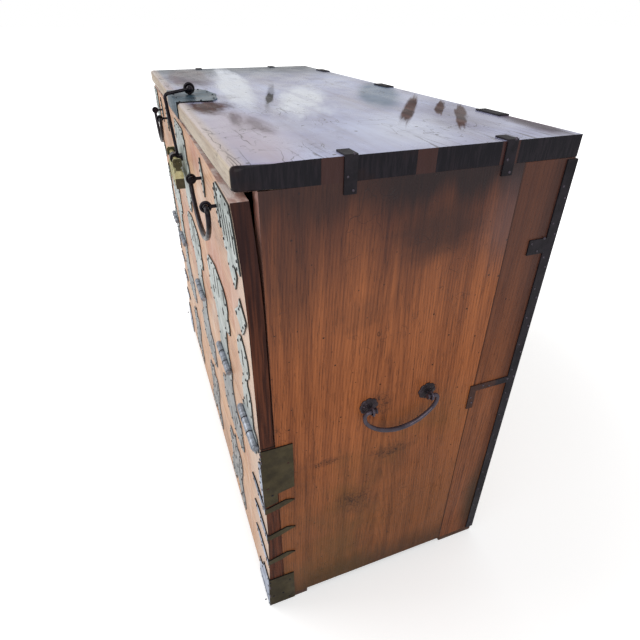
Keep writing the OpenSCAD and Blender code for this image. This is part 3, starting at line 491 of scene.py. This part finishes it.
def front_extra(s, color, gloss, height):
    """The front boards: redder patches, pale rubbed edges, grime and painted contact shade along the
    iron, dark ends.
    """
    red = s.most(
        s.front_spot(0.3, 0.6, 0.16, 0.09, 0.9, 0.6),
        s.front_spot(-0.05, 0.5, 0.2, 0.1, 0.9, 0.8),
        s.front_spot(0.22, 0.735, 0.09, 0.045, 0.7, 0.7),
        s.span(s.noise((6, 6, 9), 3.0, shift=(8, 8, 8)), 0.58, 0.75),
    )
    outer = s.span(s.facing_y, 0.3, 0.0)
    color = s.mix(s.times(outer, s.times(red, 0.65)), color, srgb(186, 104, 72))
    pale = s.most(
        s.span(s.noise((9, 9, 5), 4.0, 0.6, shift=(2, 7, 5)), 0.52, 0.7),
        s.span(s.x, 0.38, 0.49),
        s.times(s.span(s.noise((90, 90, 2.2), 3.0, 0.6, shift=(1, 1, 6)), 0.56, 0.68), 0.8),
    )
    color = s.mix(s.times(outer, s.times(pale, 0.5)), color, srgb(234, 218, 204))
    # Grime and painted contact shade next to the iron and other pieces.
    color = s.stain(color, s.crease_shade(0.007), 0.85, srgb(36, 24, 22))
    at_end = s.span(s.absolute(s.facing_x), 0.45, 0.75)
    layers = s.span(s.noise((10, 260, 12), 3.0), 0.36, 0.64)
    end_tone = s.mix(layers, srgb(98, 56, 40), srgb(58, 34, 28))
    end_tone = s.mix(s.span(s.z, 0.55, 0.74, 0.0, 0.7), end_tone, srgb(48, 34, 36))
    color = s.mix(at_end, color, end_tone)
    up = s.span(s.facing_z, 0.4, 0.8)
    color = s.mix(s.times(up, s.span(s.z, 0.7, 0.6)), color, srgb(38, 26, 22))
    # The flap's top face is nearly white: rubbed wood and a painted highlight.
    flap_rim = s.times(up, s.span(s.z, 0.6, 0.7))
    rubbed = s.span(s.noise((30, 60, 30), 4.0), 0.38, 0.6)
    color = s.stain(color, flap_rim, 0.9, s.mix(rubbed, srgb(250, 236, 232), srgb(190, 150, 142)))
    s.coat = s.blend(at_end, 0.2, 0.0)
    s.shine = s.blend(at_end, 0.3, 0.08)
    return color, gloss, height


def drawn_barrel(s, color, sides):
    """The hinge barrels have no dark rim and show drawn metal."""
    off_axis = s.absolute(s.add(s.z, -seam_z))
    in_barrel = s.span(off_axis, barrel_r + 0.0001, barrel_r + 0.0011, 1.0, 0.0)
    drawn = s.span(s.noise((200, 60, 60), 3.0), 0.36, 0.62)
    color = s.stain(color, in_barrel, 0.75, s.mix(drawn, srgb(168, 174, 194), srgb(88, 90, 108)))
    return color, s.times(sides, s.all_but(in_barrel))


def iron(name, tones, metal, rough, pits=0.5, front_sheen_tones=None, faces="", barrels=False, extra=None):
    """Forged sheet or bar: mottled tone and pits. With faces named, all other sides are dark: rust and
    painted shade on the plates' edges.
    """
    pale, tone, dark = [srgb(*value) for value in tones]
    s = Shader(name)
    mottle = s.noise((48, 48, 48), 5.0, 0.65)
    clouds = s.noise((13, 13, 13), 4.0, 0.6, shift=(5, 6, 7))
    color = s.mix(s.span(mottle, 0.36, 0.66), pale, tone)
    if front_sheen_tones:
        # Forward faces are paler: a painted reflection of the bright surroundings.
        light, shade = [srgb(*value) for value in front_sheen_tones]
        front = s.mix(s.span(mottle, 0.4, 0.64), light, shade)
        color = s.mix(s.span(s.facing_y, -0.5, -0.85), color, front)
    color = s.stain(color, s.span(clouds, 0.52, 0.7), pits, dark)
    pit = s.span(s.noise((240, 240, 240), 3.0, 0.6), 0.6, 0.7)
    color = s.stain(color, pit, pits, dark)
    if faces:
        facing = {"X": s.facing_x, "Y": s.facing_y, "Z": s.facing_z}
        flat = s.most(*[s.absolute(facing[axis]) for axis in faces])
        sides = s.span(flat, 0.6, 0.8, 0.92, 0.0)
        if barrels:
            color, sides = drawn_barrel(s, color, sides)
        # Rust and painted shade on the plates' edges.
        color = s.mix(sides, color, srgb(22, 20, 21))
    gloss = s.blend(s.span(clouds, 0.35, 0.65), rough - 0.08, rough + 0.12)
    height = s.add(s.times(s.noise((55, 55, 55), 2.0), 0.7), s.times(pit, -0.3))
    if extra:
        color = extra(s, color)
    s.bump(height, 0.0009, 0.4)
    metallic = s.blend(s.span(mottle, 0.3, 0.7), metal, metal * 0.7)
    return s.finish(color, gloss, metal=metallic, shine=0.25)


def beyond_end(s):
    return s.span(s.absolute(s.x), end_x - 0.005, end_x)


def front_iron_extra(s, color):
    """The fittings low on the front are greyer than those on the flap."""
    speckle = s.span(s.noise((90, 90, 90), 4.0, 0.7), 0.35, 0.65)
    grey = s.mix(speckle, srgb(154, 160, 166), srgb(108, 112, 120))
    return s.stain(color, s.span(s.z, 0.5, 0.3), 0.7, grey)


def strap_extra(s, color):
    """The turned ends of the middle straps at the back corners are thin and rusty."""
    rust = s.mix(s.noise((120, 120, 120), 3.0), srgb(92, 58, 46), srgb(52, 34, 30))
    thin = s.times(beyond_end(s), s.span(s.y, 0.195, 0.185))
    halfway_up = s.times(s.span(s.z, 0.32, 0.325), s.span(s.z, 0.5, 0.495))
    return s.stain(color, s.times(thin, halfway_up), 0.75, rust)


def handle_extra(s, color):
    """The end bails are greyer than the front ones."""
    bare = s.mix(s.noise((60, 60, 60), 3.0), srgb(118, 108, 122), srgb(52, 46, 54))
    return s.stain(color, beyond_end(s), 0.7, bare)


def brass(name, tones):
    """Dull yellow brass, dark brown in its hollows from painted shade, and darker on the lock's end
    plates.
    """
    pale, tone, dark = [srgb(*value) for value in tones]
    s = Shader(name)
    mottle = s.noise((60, 60, 60), 5.0, 0.6)
    color = s.mix(s.span(mottle, 0.36, 0.64), pale, tone)
    brushed = s.noise((30, 700, 700), 2.0)
    color = s.stain(color, s.span(brushed, 0.5, 0.7), 0.35, dark)
    clouds = s.span(s.noise((22, 22, 22), 4.0, shift=(3, 3, 3)), 0.5, 0.72)
    color = s.stain(color, clouds, 0.5, dark)
    at_end = s.span(s.absolute(s.facing_x), 0.5, 0.8)
    above = s.times(at_end, s.span(s.z, case_top, case_top + 0.001))
    case_end_z = case_top - case_end_h
    below = s.times(at_end, s.span(s.z, case_end_z, case_end_z - 0.001))
    color = s.stain(color, above, 0.9, srgb(52, 48, 26))
    color = s.stain(color, below, 0.92, srgb(46, 36, 20))
    # Painted shade in the hollows and along the bands.
    color = s.stain(color, s.crease_shade(0.004), 0.85, srgb(30, 26, 18))
    s.bump(s.add(brushed, mottle), 0.0006, 0.3)
    return s.finish(color, s.blend(mottle, 0.3, 0.5), metal=0.4)


# Woods. Tones run from light to dark, and axes along, across and into the board.
# The top board's pale cream wood tones show mainly on its front edge, where they are a painted
# highlight.
wood(
    "top_wood", ((208, 194, 174), (160, 138, 120), (74, 54, 48)), "XYZ",
    pith=(0.06, 0.72, 0.02), gap=0.007, rough=0.4, extra=top_extra,
)
wood(
    "end_wood", ((176, 104, 60), (100, 54, 34), (48, 27, 22)), "ZYX",
    pith=(-0.01, 0.488, 0.05), gap=0.0042, rough=0.42, rings=0.22, extra=end_extra,
)
wood(
    "narrow_wood", ((150, 90, 56), (92, 54, 38), (48, 30, 24)), "ZYX",
    pith=(0.3, 0.46, 0.02), gap=0.0055, rough=0.45, rings=0.22, extra=narrow_extra,
)
wood(
    "front_wood", ((228, 186, 148), (194, 140, 102), (118, 80, 62)), "XZY",
    pith=(0.2, -0.15, 0.03), gap=0.008, rough=0.42, extra=front_extra,
)
wood(
    "flap_wood", ((226, 184, 148), (190, 134, 98), (114, 76, 60)), "XZY",
    pith=(0.55, -0.15, 0.02), gap=0.008, rough=0.42, extra=front_extra,
)
wood(
    "inner_wood", ((186, 146, 108), (140, 100, 72), (84, 58, 44)), "XZY",
    pith=(0.3, 0.3, 0.03), gap=0.009, rough=0.62,
)
wood(
    "rail_wood", ((96, 66, 50), (66, 44, 35), (36, 26, 22)), "XYZ",
    pith=(0.3, -0.1, 0.02), gap=0.007, rough=0.6,
)

# Metals. Tones run from pale to dark.
iron(
    "front_iron", ((206, 214, 212), (166, 176, 172), (84, 84, 86)),
    metal=0.5, rough=0.34, pits=0.45, faces="Y", barrels=True, extra=front_iron_extra,
)
# The corner iron's pale blue-grey front tones are a painted reflection.
iron(
    "corner_iron", ((76, 67, 46), (58, 50, 34), (34, 29, 20)),
    metal=0.25, rough=0.55, pits=0.4, faces="YX",
    front_sheen_tones=((198, 206, 222), (152, 160, 180)),
)
iron(
    "strap_iron", ((40, 35, 42), (26, 23, 29), (14, 12, 16)),
    metal=0.15, rough=0.55, extra=strap_extra,
)
iron(
    "hasp_plate_iron", ((86, 112, 128), (52, 70, 84), (22, 26, 32)),
    metal=0.5, rough=0.3, faces="ZY",
)
iron(
    "handle_iron", ((44, 38, 46), (22, 19, 24), (10, 9, 11)),
    metal=0.5, rough=0.16, pits=0.3, extra=handle_extra,
)
iron("washer_iron", ((70, 60, 66), (42, 36, 40), (22, 19, 21)), metal=0.5, rough=0.36)
brass("lock_brass", ((226, 222, 176), (190, 182, 128), (96, 88, 52)))
brass("bolt_brass", ((196, 186, 132), (146, 134, 86), (66, 58, 34)))

for name, node in nodes.items():
    for place in node.material_slots:
        place.material = materials[slot_of_node[name]]


# Pieces of mesh
def link(new_object):
    bpy.context.scene.collection.objects.link(new_object)
    return new_object


def piece(name, bm, body, slot, smooth_faces=None):
    """A mesh piece that rides on a body and takes a slot's material. Smooth are all or given faces."""
    mesh = bpy.data.meshes.new(name)
    bmesh.ops.recalc_face_normals(bm, faces=bm.faces)
    for face in bm.faces:
        face.smooth = smooth_faces is None or face in smooth_faces
    # A bevel leaves its faces in another order each run.
    bm.faces.sort(key=lambda f: f.calc_center_median().dot(Vector((1.0, 3.7, 11.3))))
    bm.to_mesh(mesh)
    bm.free()
    mesh.materials.append(materials[slot])
    made = link(bpy.data.objects.new(name, mesh))
    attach(made, body)
    return made


def soften(node, width, front_width=None):
    """A copy of a board with worn, rounded edges stands for the node. Its front may be rounder."""
    bm = bmesh.new()
    bm.from_mesh(nodes[node].data)
    bmesh.ops.remove_doubles(bm, verts=bm.verts, dist=1e-6)
    bmesh.ops.dissolve_limit(bm, angle_limit=0.01, verts=bm.verts, edges=bm.edges)
    sharp = [e for e in bm.edges if len(e.link_faces) == 2 and e.calc_face_angle(0) > 0.6]
    worn = set()

    def bevel(edges, offset, segments, profile):
        made = bmesh.ops.bevel(
            bm, geom=edges, offset=offset, segments=segments, profile=profile, affect="EDGES",
            clamp_overlap=True,
        )
        worn.update(made["faces"])

    if front_width:
        near_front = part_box(node)[0].y + 0.01
        front = [e for e in sharp if all(v.co.y < near_front for v in e.verts)]
        sharp = [e for e in sharp if e not in front]
        bevel(front, front_width, 4, 0.5)
        sharp = [e for e in sharp if e.is_valid and len(e.link_faces) == 2]
    bevel(sharp, width, 2, 0.6)
    smooth = {f for f in worn if f.is_valid}
    smooth.update(f for f in bm.faces if node == "flap_board" and abs(f.normal.y) > 0.8)
    made = piece(node + "_worn", bm, body_of_node[node], slot_of_node[node], smooth)
    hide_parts(node)


def turns(count):
    """Angles of a full turn in even steps."""
    return [2 * math.pi * i / count for i in range(count)]


def join_rings(bm, rings):
    """Quads between each ring of points and the next."""
    count = len(rings[0])
    for low, high in zip(rings, rings[1:]):
        for i in range(count):
            j = (i + 1) % count
            bm.faces.new((low[i], low[j], high[j], high[i]))


def dome(bm, centre, out, radius, height, sides=10):
    """A low domed nail head on a surface, facing along out."""
    sunk = 0.0004
    turn = Vector((0, 0, 1)).rotation_difference(Vector(out).normalized())
    place = Matrix.Translation(centre) @ turn.to_matrix().to_4x4()
    levels = [(radius, -sunk)]
    levels += [(radius * math.cos(tilt), height * math.sin(tilt)) for tilt in (0.0, 0.5, 1.0)]
    rings = [
        [bm.verts.new(place @ Vector((r * math.cos(a), r * math.sin(a), h))) for a in turns(sides)]
        for r, h in levels
    ]
    top = bm.verts.new(place @ Vector((0, 0, height)))
    join_rings(bm, rings)
    for i in range(sides):
        bm.faces.new((rings[-1][i], rings[-1][(i + 1) % sides], top))
    bm.faces.new(list(reversed(rings[0])))


def rims(node, out, tolerance=0.9):
    """The outer edges of a node's faces that look along out, as lists of point and face normal."""
    bm = bmesh.new()
    bm.from_mesh(nodes[node].data)
    bmesh.ops.remove_doubles(bm, verts=bm.verts, dist=1e-6)
    out = Vector(out)
    outward = [f for f in bm.faces if f.normal.dot(out) > tolerance]
    chosen = set(outward)
    following = {}
    for face in outward:
        for corner in face.loops:
            if sum(f in chosen for f in corner.edge.link_faces) == 1:
                following[corner.vert] = (corner.link_loop_next.vert, face.normal.copy())
    result = []
    while following:
        start = min(following, key=lambda v: tuple(v.co))
        vert, normal = following.pop(start)
        line = [(start.co.copy(), normal)]
        while vert is not start and vert in following:
            place = vert
            vert, normal = following.pop(place)
            line.append((place.co.copy(), normal))
        area = Vector((0, 0, 0))
        for (a, _), (b, _) in zip(line, line[1:] + line[:1]):
            area += a.cross(b)
        if area.dot(out) > 0 and len(line) > 2:
            result.append(line)
    bm.free()
    return result


def along_rim(line, spacing, inset):
    """Points at even steps along a rim, moved in from it, with the surface's normal."""
    sides = list(zip(line, line[1:] + line[:1]))
    total = sum((b[0] - a[0]).length for a, b in sides)
    step = total / max(3, round(total / spacing))
    wanted = step / 2
    walked = 0.0
    for (a, normal), (b, _) in sides:
        length = (b - a).length
        if length < 1e-7:
            continue
        ahead = (b - a) / length
        while wanted <= walked + length:
            yield a + ahead * (wanted - walked) + normal.cross(ahead) * inset, normal
            wanted += step
        walked += length


nail_dice = random.Random(7)


def nail_plates(name, node_names, out, spacing, inset, radius, slot="handle_iron", keep=None):
    """Small domed nails along the rims of sheet iron plates on one body."""
    bm = bmesh.new()
    for node in node_names:
        for line in rims(node, out):
            for place, normal in along_rim(line, spacing, inset):
                if keep and not keep(place):
                    continue
                size = radius * nail_dice.uniform(0.85, 1.15)
                dome(bm, place, normal, size, size * 0.55)
    piece(name, bm, body_of_node[node_names[0]], slot)


def away_from_barrel(place):
    return abs(place.z - seam_z) > 0.016


def clear_of_back(place):
    return place.y < back_y - 0.003


def ring_band(bm, centre, inner, outer, width, sides=24):
    """A band round an axis along X."""
    half_w = width / 2
    rings = [
        [bm.verts.new(centre + Vector((x, r * math.cos(a), r * math.sin(a)))) for a in turns(sides)]
        for r, x in ((inner, -half_w), (outer, -half_w), (outer, half_w), (inner, half_w))
    ]
    join_rings(bm, rings + rings[:1])


def hinge_collars():
    """Dark collars where the knuckles of a hinge meet."""
    bm = bmesh.new()
    beside = 0.0014
    for number in range(1, 6):
        upper = nodes["hinge_%d_upper_leaf" % number].data.vertices
        knuckles = [v.co.x for v in upper if v.co.z < seam_z]
        for x in (min(knuckles) - beside, max(knuckles) + beside):
            centre = Vector((x, hinge_y, seam_z))
            ring_band(bm, centre, barrel_r - 0.001, barrel_r + 0.0005, collar_w)
    piece("hinge_collars", bm, "carcass", "handle_iron")


def petal_height(share, petal):
    """Height of an embossed washer, 0 to 1. The share runs from its hole to its rim."""
    def bead(middle, width):
        return math.exp(-((share - middle) / width) ** 2)
    rim_height = 0.12
    domed = 0.25 + 0.75 * math.cos(share * math.pi / 2) ** 0.8
    fold = 0.3 * (1 - petal) ** 2 * math.sin(share * math.pi) ** 0.7
    beads = 0.16 * bead(0.45, 0.05) + 0.12 * bead(0.88, 0.06)
    return max(rim_height, min(1.0, domed - fold + beads))


def petalled_washers(node, side):
    """Embossed washers with eight petals stand for the plain domed ones under an end handle."""
    bm = bmesh.new()
    low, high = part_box(node)
    wall_x = low.x if side > 0 else high.x
    reach = high.x - low.x
    radius = (high.z - low.z) / 2
    steps = 12
    for y in (low.y + radius, high.y - radius):
        centre = Vector((wall_x, y, (low.z + high.z) / 2))
        rings = []
        for share in [k / steps for k in range(steps + 1)]:
            ring = []
            for a in turns(96):
                petal = abs(math.cos(4 * a))
                rim = radius * (0.86 + 0.14 * petal ** 0.5)
                r = washer_hole_r + (rim - washer_hole_r) * share
                out = side * reach * petal_height(share, petal)
                ring.append(bm.verts.new(centre + Vector((out, r * math.cos(a), r * math.sin(a)))))
            rings.append(ring)
        at_hole, at_rim = [
            [bm.verts.new((wall_x, v.co.y, v.co.z)) for v in ring]
            for ring in (rings[0], rings[-1])
        ]
        rings = [at_hole] + rings + [at_rim]
        join_rings(bm, rings + rings[:1])
    made = piece(node + "_petals", bm, "carcass", "washer_iron")
    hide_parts(node)


def bevelled_bar(bm, low, high):
    """A plain bar between two corners with bevelled edges."""
    made = bmesh.ops.create_cube(bm, size=1.0)
    size = high - low
    centre = (low + high) / 2
    for vert in made["verts"]:
        vert.co = Vector([vert.co[i] * size[i] + centre[i] for i in range(3)])
    edges = list(dict.fromkeys(e for v in made["verts"] for e in v.link_edges))
    bmesh.ops.bevel(bm, geom=edges, offset=min(size) * 0.3, segments=2, profile=0.6, affect="EDGES")


def padlock_bands():
    """Raised bands round the padlock's case, each held by two rivets."""
    low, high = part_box("padlock_case")
    case_low = low.z + 0.001
    half_d = case_half_d + lock_band_t
    bm = bmesh.new()
    for share in (0.02, 0.31, 0.6, 0.86):
        x = low.x + (high.x - low.x) * share
        bevelled_bar(
            bm,
            Vector((x, lock_y - half_d, case_low - lock_band_t)),
            Vector((x + lock_band_w, lock_y + half_d, case_top + lock_band_t)),
        )
        for z in (case_low + 0.005, case_top - 0.005):
            dome(bm, Vector((x + lock_band_w / 2, lock_y - half_d, z)), forward, 0.002, 0.0008, 14)
    piece("padlock_bands", bm, "flap", "bolt_brass", set())


# Boards with the width of their worn edges
worn_edges = {
    "right_end_board": 0.0014, "left_end_board": 0.0014,
    "right_end_narrow_board": 0.0016, "left_end_narrow_board": 0.0016,
    "back_upper_board": 0.002, "back_lower_board": 0.002,
    "fixed_front_board": 0.0022, "flap_board": 0.0018,
    "front_foot_rail": 0.0025, "back_foot_rail": 0.0025,
    "hasp_plate": 0.0006,
}
for node, width in worn_edges.items():
    soften(node, width)
soften("top_board", 0.0012, front_width=0.0055)

# Nails
upper_leaves = ["hinge_%d_upper_leaf" % n for n in range(1, 6)]
lower_leaves = ["hinge_%d_lower_leaf" % n for n in range(1, 6)]
flap_plates = [
    "lock_plate", "right_flap_corner_plate", "left_flap_corner_plate", "right_flap_edge_plate",
    "left_flap_edge_plate", "flap_handle_plates",
]
corner_pieces = [
    "right_corner_plate", "right_bottom_corner_plate", "left_corner_plate",
    "left_bottom_corner_plate", "right_corner_straps", "left_corner_straps",
]
nail_plates(
    "upper_leaf_nails", upper_leaves, forward,
    spacing=0.03, inset=0.0048, radius=0.0021, keep=away_from_barrel,
)
nail_plates(
    "lower_leaf_nails", lower_leaves, forward,
    spacing=0.03, inset=0.0048, radius=0.0021, keep=away_from_barrel,
)
nail_plates("flap_plate_nails", flap_plates, forward, spacing=0.027, inset=0.0046, radius=0.002)
nail_plates("ornament_nails", ["front_ornaments"], forward, spacing=0.028, inset=0.0046, radius=0.002)
nail_plates("corner_front_nails", corner_pieces, forward, spacing=0.03, inset=0.0046, radius=0.002)
for hand, side in hands:
    nail_plates(
        hand + "_end_nails", [hand + "_corner_plate", hand + "_bottom_corner_plate"], (side, 0, 0),
        spacing=0.075, inset=0.008, radius=0.0018, slot="strap_iron",
    )
for hand, side in hands:
    nail_plates(
        hand + "_strap_nails", [hand + "_top_straps", hand + "_back_band", hand + "_back_straps"],
        (side, 0, 0), spacing=0.05, inset=0.0042, radius=0.0018, keep=clear_of_back,
    )
nail_plates(
    "back_board_nails", ["back_upper_board", "back_lower_board"], backward,
    spacing=0.12, inset=0.022, radius=0.0026, slot="strap_iron",
)
nail_plates("hasp_plate_nails", ["hasp_plate"], upward, spacing=0.045, inset=0.006, radius=0.0022)

hinge_collars()
for hand, side in hands:
    petalled_washers(hand + "_handle_washers", side)
padlock_bands()


# Camera, light and floor
def new_camera():
    """The photograph's camera, as recovered from the chest's edges."""
    place = (0.968, -0.28875, 0.9184)
    yaw = math.radians(20.90)
    pitch = math.radians(32.67)
    roll = math.radians(0.18)
    focal_pixels = 471.06
    photo_pixels = 640
    data = bpy.data.cameras.new("camera")
    data.sensor_width = 36.0
    data.lens = data.sensor_width * focal_pixels / photo_pixels
    data.clip_start = 0.01
    camera = link(bpy.data.objects.new("camera", data))
    flat = math.cos(pitch)
    ahead = Vector((-math.cos(yaw) * flat, math.sin(yaw) * flat, -math.sin(pitch)))
    turn = ahead.to_track_quat("-Z", "Y").to_matrix().to_4x4()
    camera.matrix_world = Matrix.Translation(place) @ turn @ Matrix.Rotation(roll, 4, "Z")
    bpy.context.scene.camera = camera


def area_light(name, place, size, power):
    """A square light that looks at the middle of the chest."""
    data = bpy.data.lights.new(name, "AREA")
    data.size = size
    data.energy = power
    lamp = link(bpy.data.objects.new(name, data))
    lamp.location = place
    toward = Vector((0, 0, 0.4)) - Vector(place)
    lamp.rotation_euler = toward.to_track_quat("-Z", "Y").to_euler()


def white_surroundings(level):
    """White to the camera. As light on surfaces and in reflections it has the level's strength."""
    world = bpy.data.worlds.new("surroundings")
    bpy.context.scene.world = world
    world.use_nodes = True
    tree = world.node_tree
    background = tree.nodes["Background"]
    background.inputs[0].default_value = (1, 1, 1, 1)
    path = tree.nodes.new("ShaderNodeLightPath")
    seen = tree.nodes.new("ShaderNodeMath")
    seen.operation = "MAXIMUM"
    tree.links.new(path.outputs["Is Camera Ray"], seen.inputs[0])
    tree.links.new(path.outputs["Is Transmission Ray"], seen.inputs[1])
    strength = tree.nodes.new("ShaderNodeMapRange")
    strength.inputs[3].default_value = level
    strength.inputs[4].default_value = 1.0
    tree.links.new(seen.outputs[0], strength.inputs[0])
    tree.links.new(strength.outputs[0], background.inputs[1])


def white_floor():
    """A white floor that keeps the chest's soft shadow and turns plain white farther off."""
    bm = bmesh.new()
    bmesh.ops.create_grid(bm, x_segments=2, y_segments=2, size=60)
    mesh = bpy.data.meshes.new("floor")
    bm.to_mesh(mesh)
    bm.free()
    s = Shader("floor")
    shadow_reach = 0.7
    plain_from = 1.9
    length = s.node("ShaderNodeVectorMath", {0: s.place}, operation="LENGTH")
    near = s.span(length.outputs["Value"], shadow_reach, plain_from, 1.0, 0.0)
    path = s.tree.nodes.new("ShaderNodeLightPath")
    glow = s.blend(near, 1.0, 0.42)
    s.put(s.surface.inputs["Emission Color"], (1, 1, 1, 1))
    s.put(s.surface.inputs["Emission Strength"], s.times(glow, path.outputs["Is Camera Ray"]))
    mesh.materials.append(s.finish((0.84, 0.84, 0.84, 1), 0.9, shine=0.0))
    floor = link(bpy.data.objects.new("floor", mesh))
    floor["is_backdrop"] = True


new_camera()
white_surroundings(0.62)
white_floor()
area_light("key", (-1.2, -2.4, 2.0), 2.2, 42)
area_light("side", (2.6, -0.6, 1.7), 1.8, 16)
bpy.context.scene.view_settings.view_transform = "Standard"

sizes = {"cad": cad_box, "visual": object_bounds()}
{key: [list(map(float, corner)) for corner in box] for key, box in sizes.items()}
